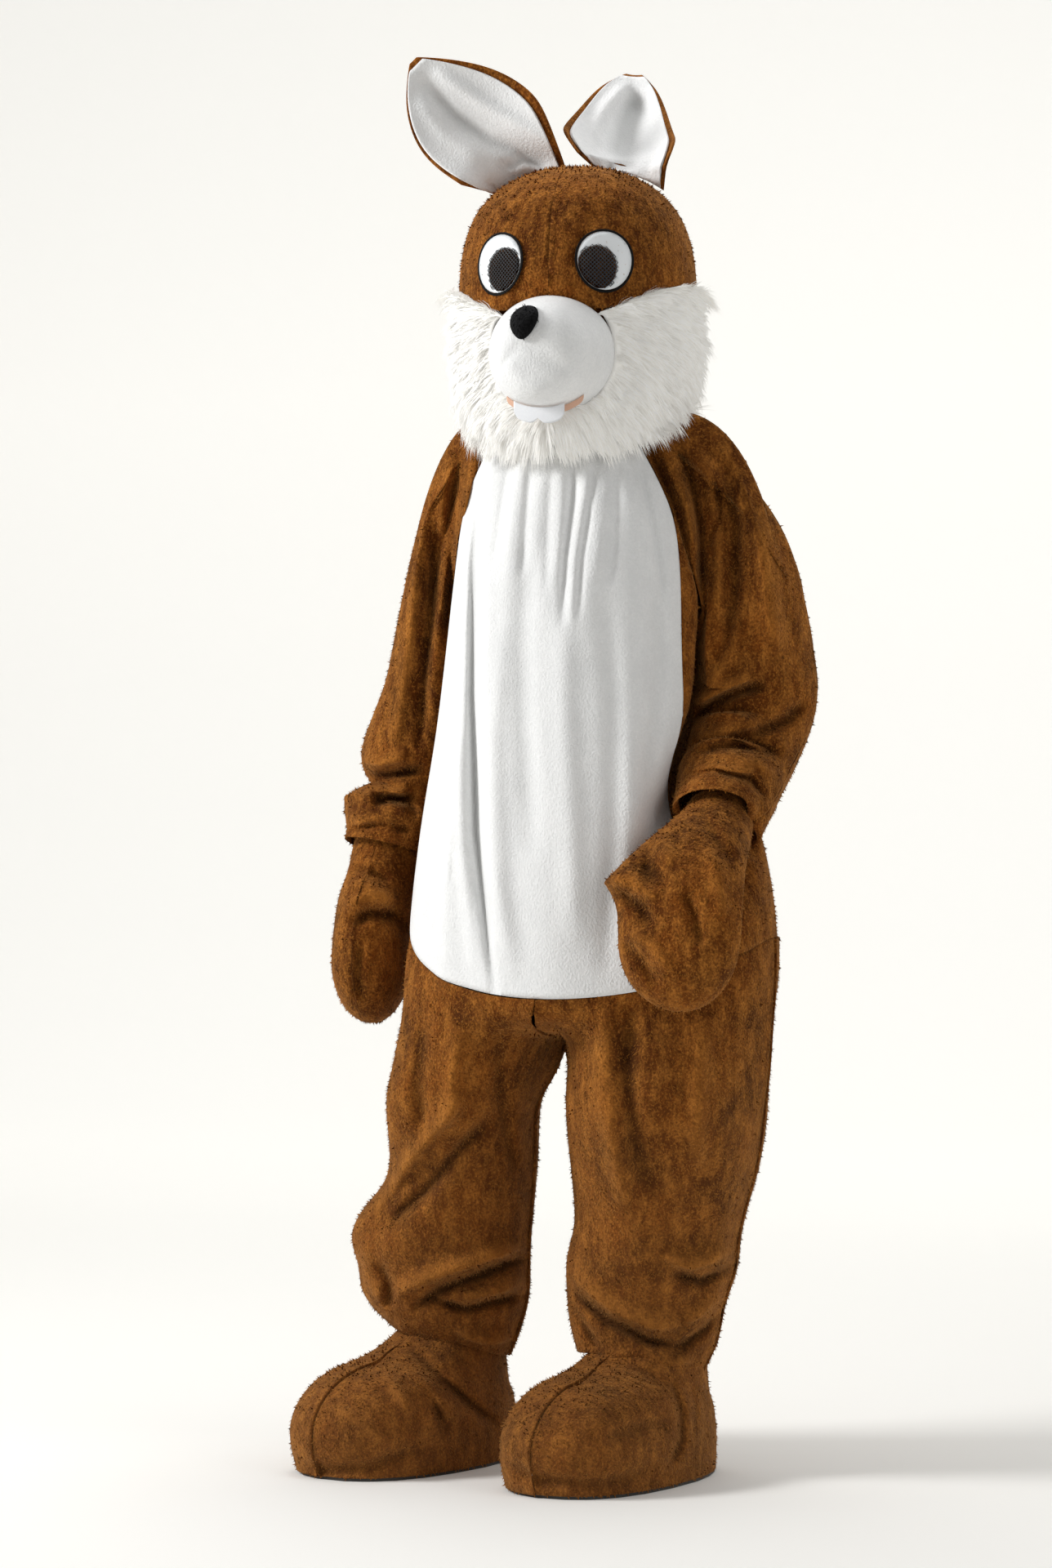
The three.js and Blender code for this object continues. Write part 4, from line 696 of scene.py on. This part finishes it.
# The shoes: two halves of plush each, sewn along the middle of the foot over a stuffed toe, on a smooth
# dark sole sheet. The plush wrinkles over the instep and is gathered at the heel.
SHOE_FOLDS = {
    "left": [
        (5, -13, [(820, 1688), (834, 1728), (835, 1764), (820, 1798)]),
        (9, 8, [(690, 1696), (740, 1684), (794, 1704)]),
        (7, -7, [(712, 1674), (760, 1670), (800, 1686), (822, 1712)]),
        (4, -6, [(846, 1696), (853, 1730), (848, 1764)]),
        (4, -6, [(862, 1706), (868, 1738), (860, 1768)]),
        (10, -6, [(740, 1764), (790, 1746), (826, 1742)]),
        (9, -6, [(606, 1788), (660, 1812), (740, 1818), (806, 1800)]),
    ],
    "right": [
        (6, -13, [(496, 1648), (536, 1686), (570, 1716), (612, 1748)]),
        (8, 8, [(484, 1662), (520, 1700), (562, 1738)]),
        (6, -10, [(468, 1642), (500, 1680), (529, 1711), (548, 1756)]),
        (9, 8, [(450, 1656), (480, 1690), (506, 1732)]),
        (9, 5, [(400, 1720), (440, 1740), (480, 1770)]),
        (9, -6, [(356, 1788), (400, 1802), (450, 1796), (524, 1770)]),
    ],
}
SHOES = [
    ("left", [(0.11, 0.07, -1.42), (0.06, -0.1, -1.42)]),
    ("right", [(-0.2, 0.1, -1.42), (-0.26, -0.07, -1.42)]),
]
for seed, (side, middle) in enumerate(SHOES, 50):
    for half in ("outer", "inner"):
        node = f"shoe_{side}_{half}"
        shoe = press(panel(node), SHOE_FOLDS[side], depth=1.7)
        dress(shoe, node, brown_plush)
        pile(shoe, node, middle, brown_plush, seed)

sole_sheet, tree, shader, place = node_material("sole_sheet", 0.55)
shader.inputs["Base Color"].default_value = (0.03, 0.026, 0.022, 1)
raise_bumps(tree, shader, [(noise(tree, place, 320, 3), 0.0006, 0.5)])
for side in ("left", "right"):
    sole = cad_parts[f"shoe_{side}_sole"]
    sole.data.materials.clear()
    sole.data.materials.append(sole_sheet)

# The head: four brown panels over a stiff shell, with a seam down the forehead. The pile is brushed
# sideways, and it dips at each seam.
HEAD_FOLDS = [
    (3, -3, [(680, 212), (681, 250), (677, 300), (671, 362)]),
    (12, -3, [(585, 300), (620, 330), (650, 372)]),
    (10, -3, [(740, 250), (720, 280), (700, 330)]),
    (12, 3, [(600, 260), (640, 240), (670, 250)]),
    (12, 3, [(790, 240), (820, 280), (834, 330)]),
]
HEAD_MIDDLE = np.array([0.005, -0.008, 0.06])
HEAD_PANELS = [
    ("head_front_left", 0.058),
    ("head_front_right", 0.058),
    ("head_back_left", 0.077),
    ("head_back_right", 0.077),
]
for seed, (node, area) in enumerate(HEAD_PANELS, 60):
    side = panel(node, levels=2)
    if "front" in node:
        press(side, HEAD_FOLDS)
    dress(side, node, brown_plush)
    pile(side, node, [HEAD_MIDDLE, HEAD_MIDDLE + (0, 0, 0.16)], brown_plush, seed)

# The cheeks: long warm white fur, sewn round the muzzle and along the jaw. A backing lies under it, and
# the locks are swept away from the muzzle, outwards and down, and part at the chin.
MUZZLE_MIDDLE = np.array([0.012, -0.2, 0.07])
FUR_DEPTH = 0.012
FUR_STRANDS = 18500  # to a cheek
FUR_LENGTH = (0.028, 0.042)
FUR_WIDTH = 0.0016
FUR_STEPS = 3
FUR_STRAY = 0.09
FUR_LOCKS = 700
LOCK_LIFT = (0.18, 0.46)
LOCK_LEAN = 0.14
LOCK_GROWTH = (0.75, 1.25)
LOCK_GATHER = 0.6  # how far its strands draw together
CHIN_PART = 0.04
BACKING_RISE = 0.028  # the backing comes up to the seam over this width
BACKING_ROUND = np.array([1, 1, 0.6])
FUR_BODY = (0.91, 0.9, 0.87)
FUR_BRIGHT = (0.97, 0.965, 0.945)
FUR_ROOTS = (0.78, 0.75, 0.68)
FUR_DULL = (0.72, 0.7, 0.65)


def fur_material():
    """Long hair: dull at the roots, some strands duller than others, and a faint painted glow, as if lit
    from within a little.
    """
    material, tree, shader, place = node_material("long_fur", 0.75)
    tip = tree.nodes.new("ShaderNodeAttribute")
    tip.attribute_name = "tip"
    shade = tree.nodes.new("ShaderNodeAttribute")
    shade.attribute_name = "shade"
    streaks = noise(tree, place, 90, 4, 0.6)
    colour = blend(tree, between(tree, streaks, 0.35, 0.68, 0, 1), FUR_BODY, FUR_BRIGHT)
    colour = blend(tree, between(tree, tip.outputs["Fac"], 0, 0.4, 0.22, 0), colour, FUR_ROOTS)
    colour = blend(tree, between(tree, shade.outputs["Fac"], 0.45, 1, 0, 0.55), colour, FUR_DULL)
    tree.links.new(colour, shader.inputs["Base Color"])
    # Painted glow: the hair emits a little of its own colour, standing in for light that passes through it.
    tree.links.new(colour, shader.inputs["Emission Color"])
    shader.inputs["Emission Strength"].default_value = 0.1  # light that goes through the hair
    shader.inputs["Specular IOR Level"].default_value = 0.2
    shader.inputs["Sheen Weight"].default_value = 0.2
    raise_bumps(tree, shader, [(noise(tree, place, 500, 2), 0.0006, 0.4)])
    return material


def out_of_head(points):
    """Ways out from the middle of the head, flattened as the jaw is."""
    return unit((points - HEAD_MIDDLE) * BACKING_ROUND)


long_fur = fur_material()
for side, seed in (("left", 3), ("right", 4)):
    node = f"cheek_{side}"
    cheek = panel(node, levels=2)
    places = coordinates(cheek.data)
    out = out_of_head(places)
    turned = np.sum(normals(cheek.data) * out, axis=1)
    rim = places[np.abs(turned) < 0.45]
    inside = np.full(len(places), 1e9)
    for k in range(0, len(rim), 3):
        inside = np.minimum(inside, np.linalg.norm(places - rim[k], axis=1))
    sunk = np.clip(turned * 2 - 0.6, 0, 1) * np.clip(inside / BACKING_RISE, 0, 1)
    places -= out * (FUR_DEPTH * sunk)[:, None]
    move_to(cheek.data, places)
    dress(cheek, node, long_fur)
    roots, ups, _, generator = outer_spots(cheek, FUR_STRANDS, seed, out_of_head)
    locks = roots[generator.choice(FUR_STRANDS, FUR_LOCKS, replace=False)]
    nearest = np.full(FUR_STRANDS, 1e9)
    lock = np.zeros(FUR_STRANDS, int)
    for k, spot in enumerate(locks):
        far = np.linalg.norm(roots - spot, axis=1)
        closer = far < nearest
        nearest[closer] = far[closer]
        lock[closer] = k
    lift = generator.uniform(*LOCK_LIFT, FUR_LOCKS)[lock]
    lean = generator.normal(0, LOCK_LEAN, (FUR_LOCKS, 3))[lock]
    grown = generator.uniform(*LOCK_GROWTH, FUR_LOCKS)[lock]
    away = roots - MUZZLE_MIDDLE
    away[:, 0] += np.sign(roots[:, 0] - MUZZLE_MIDDLE[0]) * CHIN_PART
    away[:, 2] -= CHIN_PART
    along = unit(away - ups * np.sum(away * ups, axis=1)[:, None])
    lengths = generator.uniform(*FUR_LENGTH, FUR_STRANDS) * grown
    gather = (locks[lock] - roots) / lengths[:, None] * LOCK_GATHER
    stray = generator.normal(0, FUR_STRAY, roots.shape)
    ways = unit(along + lean + gather + ups * lift[:, None] + stray)
    fall = np.array([0, 0, -0.3]) - ups * 0.25
    roots = roots - ups * 0.001
    fur = strands(f"{node}_fur", roots, ways, ups, lengths, FUR_WIDTH, FUR_STEPS, fall)
    shade = fur.data.attributes.new("shade", "FLOAT", "POINT")
    corners = len(shade.data) // FUR_STRANDS
    shade.data.foreach_set("value", np.repeat(generator.random(FUR_STRANDS), corners))
    fur.data.materials.append(long_fur)
    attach(fur, "root")

# The muzzle: a round cap of white plush over foam, with a seam that slants from the nose to the lower
# left. The nose is a small ball of black plush, and the teeth are felt over a strip of peach lining.
MUZZLE_FLARE = 0.008  # the cap is sewn in under the fur
FLARE_START = 0.01
FLARE_REACH = 0.05
MUZZLE_FOLDS = [
    (4, -3, [(640, 416), (628, 430), (612, 452), (604, 462)]),
    (9, -3, [(640, 414), (668, 440), (700, 452)]),
    (10, 3, [(620, 440), (640, 470), (670, 484)]),
]
muzzle = press(panel("muzzle", levels=2), MUZZLE_FOLDS)
places = coordinates(muzzle.data)
low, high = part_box("muzzle")
middle = np.array((low + high) / 2)
forward = unit(np.array([MUZZLE_MIDDLE[0] - HEAD_MIDDLE[0], middle[1] - HEAD_MIDDLE[1], 0]))
off = places - middle
ahead = off @ forward
sideways = off - ahead[:, None] * forward
near = np.clip((FLARE_START - ahead) / FLARE_REACH, 0, 1) ** 2
places += unit(sideways) * (MUZZLE_FLARE * near)[:, None]
move_to(muzzle.data, places)
dress(muzzle, "muzzle", white_plush)

black_plush = plush(
    "black_plush",
    deep=(0.004, 0.004, 0.004),
    body=(0.008, 0.008, 0.008),
    bright=(0.013, 0.013, 0.014),
    # painted shade colour for the fold troughs
    trough_shade=(0.004, 0.004, 0.004),
    sheen=0.06,
    tint=(0.8, 0.8, 0.85),
)
nose = dress(panel("nose", levels=2, rounding=1.0), "nose", black_plush)
pile(nose, "nose", [HEAD_MIDDLE, MUZZLE_MIDDLE], black_plush, 70)

white_felt, tree, shader, place = node_material("white_felt", 0.85)
fibres = noise(tree, place, 500, 4, 0.7)
tree.links.new(blend(tree, fibres, (0.78, 0.8, 0.84), (0.92, 0.93, 0.95)), shader.inputs["Base Color"])
raise_bumps(tree, shader, [(fibres, 0.0005, 0.5)])
teeth = dress(panel("teeth", levels=2), "teeth", white_felt)

peach_lining, tree, shader, place = node_material("peach_lining", 0.8)
weave = noise(tree, place, 900, 2, 0.5, (1, 1, 2))
tree.links.new(blend(tree, weave, (0.66, 0.36, 0.24), (0.84, 0.56, 0.42)), shader.inputs["Base Color"])
raise_bumps(tree, shader, [(weave, 0.0003, 0.6)])
lining = dress(panel("mouth_lining", levels=2), "mouth_lining", peach_lining)

# The eyes: an oval of white vinyl, a pupil of open black net beside it, and a satin stitch border round
# them both. The net is real net, with a thread of its own thickness.
NET_PITCH = 0.0038
NET_THREAD = 0.0013
NET_SIZE = 0.1  # of the sheet that the pupils are cut from
NET_STANDOFF = 0.06  # how far off it is laid on from

white_vinyl, tree, shader, place = node_material("white_vinyl", 0.32)
shader.inputs["Base Color"].default_value = (0.84, 0.87, 0.89, 1)
raise_bumps(tree, shader, [(noise(tree, place, 60, 3), 0.001, 0.15)])
black_net, _, shader, _ = node_material("black_net", 0.3)
shader.inputs["Base Color"].default_value = (0.03, 0.03, 0.033, 1)
shader.inputs["Specular IOR Level"].default_value = 0.8
black_thread, tree, shader, place = node_material("black_thread", 0.8)
shader.inputs["Base Color"].default_value = (0.005, 0.005, 0.005, 1)
shader.inputs["Specular IOR Level"].default_value = 0.15
stitches = noise(tree, place, 800, 1, 0.5)
raise_bumps(tree, shader, [(stitches, 0.0005, 0.7)])


def net(node):
    """Open net, cut to the pupil's oval and laid on its face."""
    low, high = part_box(node)
    middle = (low + high) / 2
    outward = (middle - Vector(HEAD_MIDDLE)) * Vector((1, 1, 0))
    outward.normalize()
    solid = bmesh.new()
    solid.from_mesh(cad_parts[node].data)
    face = BVHTree.FromBMesh(solid)
    bm = bmesh.new()
    cells = int(NET_SIZE / NET_PITCH)
    bmesh.ops.create_grid(bm, x_segments=cells, y_segments=cells, size=NET_SIZE / 2)
    up = Vector((0, 0, 1))
    turn = Matrix.Rotation(math.radians(45), 3, "Z")
    stand = Matrix((up.cross(outward), up, outward)).transposed()
    missed = []
    for vert in bm.verts:
        start = middle + stand @ (turn @ vert.co) + outward * NET_STANDOFF
        hit = face.ray_cast(start, -outward, 2 * NET_STANDOFF)[0]
        if hit is None:
            missed.append(vert)
        else:
            vert.co = hit
    bmesh.ops.delete(bm, geom=missed, context="VERTS")
    mesh = bpy.data.meshes.new(node + "_net")
    bm.to_mesh(mesh)
    bm.free()
    solid.free()
    piece = put_in_scene(node + "_net", mesh)
    wires = piece.modifiers.new("Wireframe", "WIREFRAME")
    wires.thickness = NET_THREAD
    finish_mesh(piece)
    return piece


for side in ("left", "right"):
    white = dress(panel(f"eye_white_{side}", levels=1), f"eye_white_{side}", white_vinyl)
    pupil = dress(net(f"eye_mesh_{side}"), f"eye_mesh_{side}", black_net)
    border = panel(f"eye_border_{side}", levels=2, rounding=0.6)
    dress(border, f"eye_border_{side}", black_thread)

# The ears: a brown back and a white lining each. One stands up and leans out, and the other is folded
# lengthwise like a shell and tips back.
EAR_FOLDS = {
    "right": [
        (8, -12, [(513, 92), (556, 140), (600, 170), (650, 190), (692, 198)]),
        (10, 9, [(530, 86), (590, 128), (640, 158), (684, 180)]),
        (11, 6, [(510, 120), (545, 165), (592, 198)]),
        (5, -10, [(612, 208), (640, 194), (672, 204)]),
        (5, -8, [(596, 230), (630, 217), (658, 214)]),
    ],
    "left": [
        (17, -21, [(785, 112), (770, 150), (762, 185), (762, 210)]),
        (9, 9, [(772, 100), (742, 132), (722, 170), (716, 206)]),
        (9, 9, [(797, 106), (812, 146), (824, 186), (816, 212)]),
        (9, 8, [(770, 224), (800, 227), (826, 214)]),
        (5, -10, [(744, 234), (743, 216), (748, 198)]),
    ],
}
EARS = [("right", 0.033, 0.029), ("left", 0.029, 0.025)]
for side, back_area, lining_area in EARS:
    back = press(panel(f"ear_{side}_back", levels=2), EAR_FOLDS[side])
    dress(back, f"ear_{side}_back", brown_plush)
    inside = press(panel(f"ear_{side}_lining", levels=2), EAR_FOLDS[side])
    dress(inside, f"ear_{side}_lining", white_plush)

# The studio: a pale floor that runs up into a wall behind, a broad soft light from the left front, and a
# weaker one from the right.
FLOOR = -NECK_HEIGHT
FLOOR_FRONT = -9
FLOOR_SIDE = 12
FLOOR_BACK = 3.5
SWEEP = 2  # the radius of the bend up into the wall
WALL_TOP = 9
BACKDROP = (0.87, 0.86, 0.83)
FLOOR_GLOW = (0.07, 0.07, 0.068)
WALL_GLOW = (0.41, 0.408, 0.394)
backdrop, tree, shader, place = node_material("backdrop", 0.9)
shader.inputs["Base Color"].default_value = (*BACKDROP, 1)
shader.inputs["Specular IOR Level"].default_value = 0.1
spot = tree.nodes.new("ShaderNodeSeparateXYZ")
tree.links.new(place, spot.inputs["Vector"])
glow = blend(tree, between(tree, spot.outputs["Y"], 0.2, 4.0, 0, 1), FLOOR_GLOW, WALL_GLOW)
tree.links.new(glow, shader.inputs["Emission Color"])
shader.inputs["Emission Strength"].default_value = 1.0
bm = bmesh.new()
near = [bm.verts.new((x, FLOOR_FRONT, FLOOR)) for x in (-FLOOR_SIDE, FLOOR_SIDE)]
strip = [bm.edges.new(near)]
bend = [
    (FLOOR_BACK + SWEEP * math.sin(turned), SWEEP - SWEEP * math.cos(turned))
    for turned in np.linspace(0.2, math.pi / 2, 8)
]
spot = Vector((0, FLOOR_FRONT, FLOOR))
for y, z in [(FLOOR_BACK, 0)] + bend + [(FLOOR_BACK + SWEEP, WALL_TOP)]:
    made = bmesh.ops.extrude_edge_only(bm, edges=strip)["geom"]
    there = Vector((0, y, FLOOR + z))
    moved = [g for g in made if isinstance(g, bmesh.types.BMVert)]
    bmesh.ops.translate(bm, verts=moved, vec=there - spot)
    strip = [g for g in made if isinstance(g, bmesh.types.BMEdge)]
    spot = there
bmesh.ops.recalc_face_normals(bm, faces=bm.faces)
mesh = bpy.data.meshes.new("backdrop")
bm.to_mesh(mesh)
bm.free()
mesh.shade_smooth()
mesh.materials.append(backdrop)
studio = put_in_scene("backdrop", mesh)

world = bpy.data.worlds.new("studio")
bpy.context.scene.world = world
world.use_nodes = True
world.node_tree.nodes["Background"].inputs["Color"].default_value = (1, 0.99, 0.97, 1)
world.node_tree.nodes["Background"].inputs["Strength"].default_value = 0.28

LIGHTS = [
    ("key", (-3.3, -1.9, 1.4), 1.2, 146),
    ("side", (3.0, -1.4, 0.6), 1.8, 16),
    ("top", (0.0, 0.4, 2.4), 2.0, 36),
]
for name, spot, size, power in LIGHTS:
    light = bpy.data.objects.new(name, bpy.data.lights.new(name, "AREA"))
    light.data.shape = "SQUARE"
    light.data.size = size
    light.data.energy = power
    light.location = spot
    light.rotation_euler = (Vector((0, 0, -0.5)) - light.location).to_track_quat("-Z", "Y").to_euler()
    bpy.context.scene.collection.objects.link(light)
bpy.context.scene.view_settings.view_transform = "Standard"
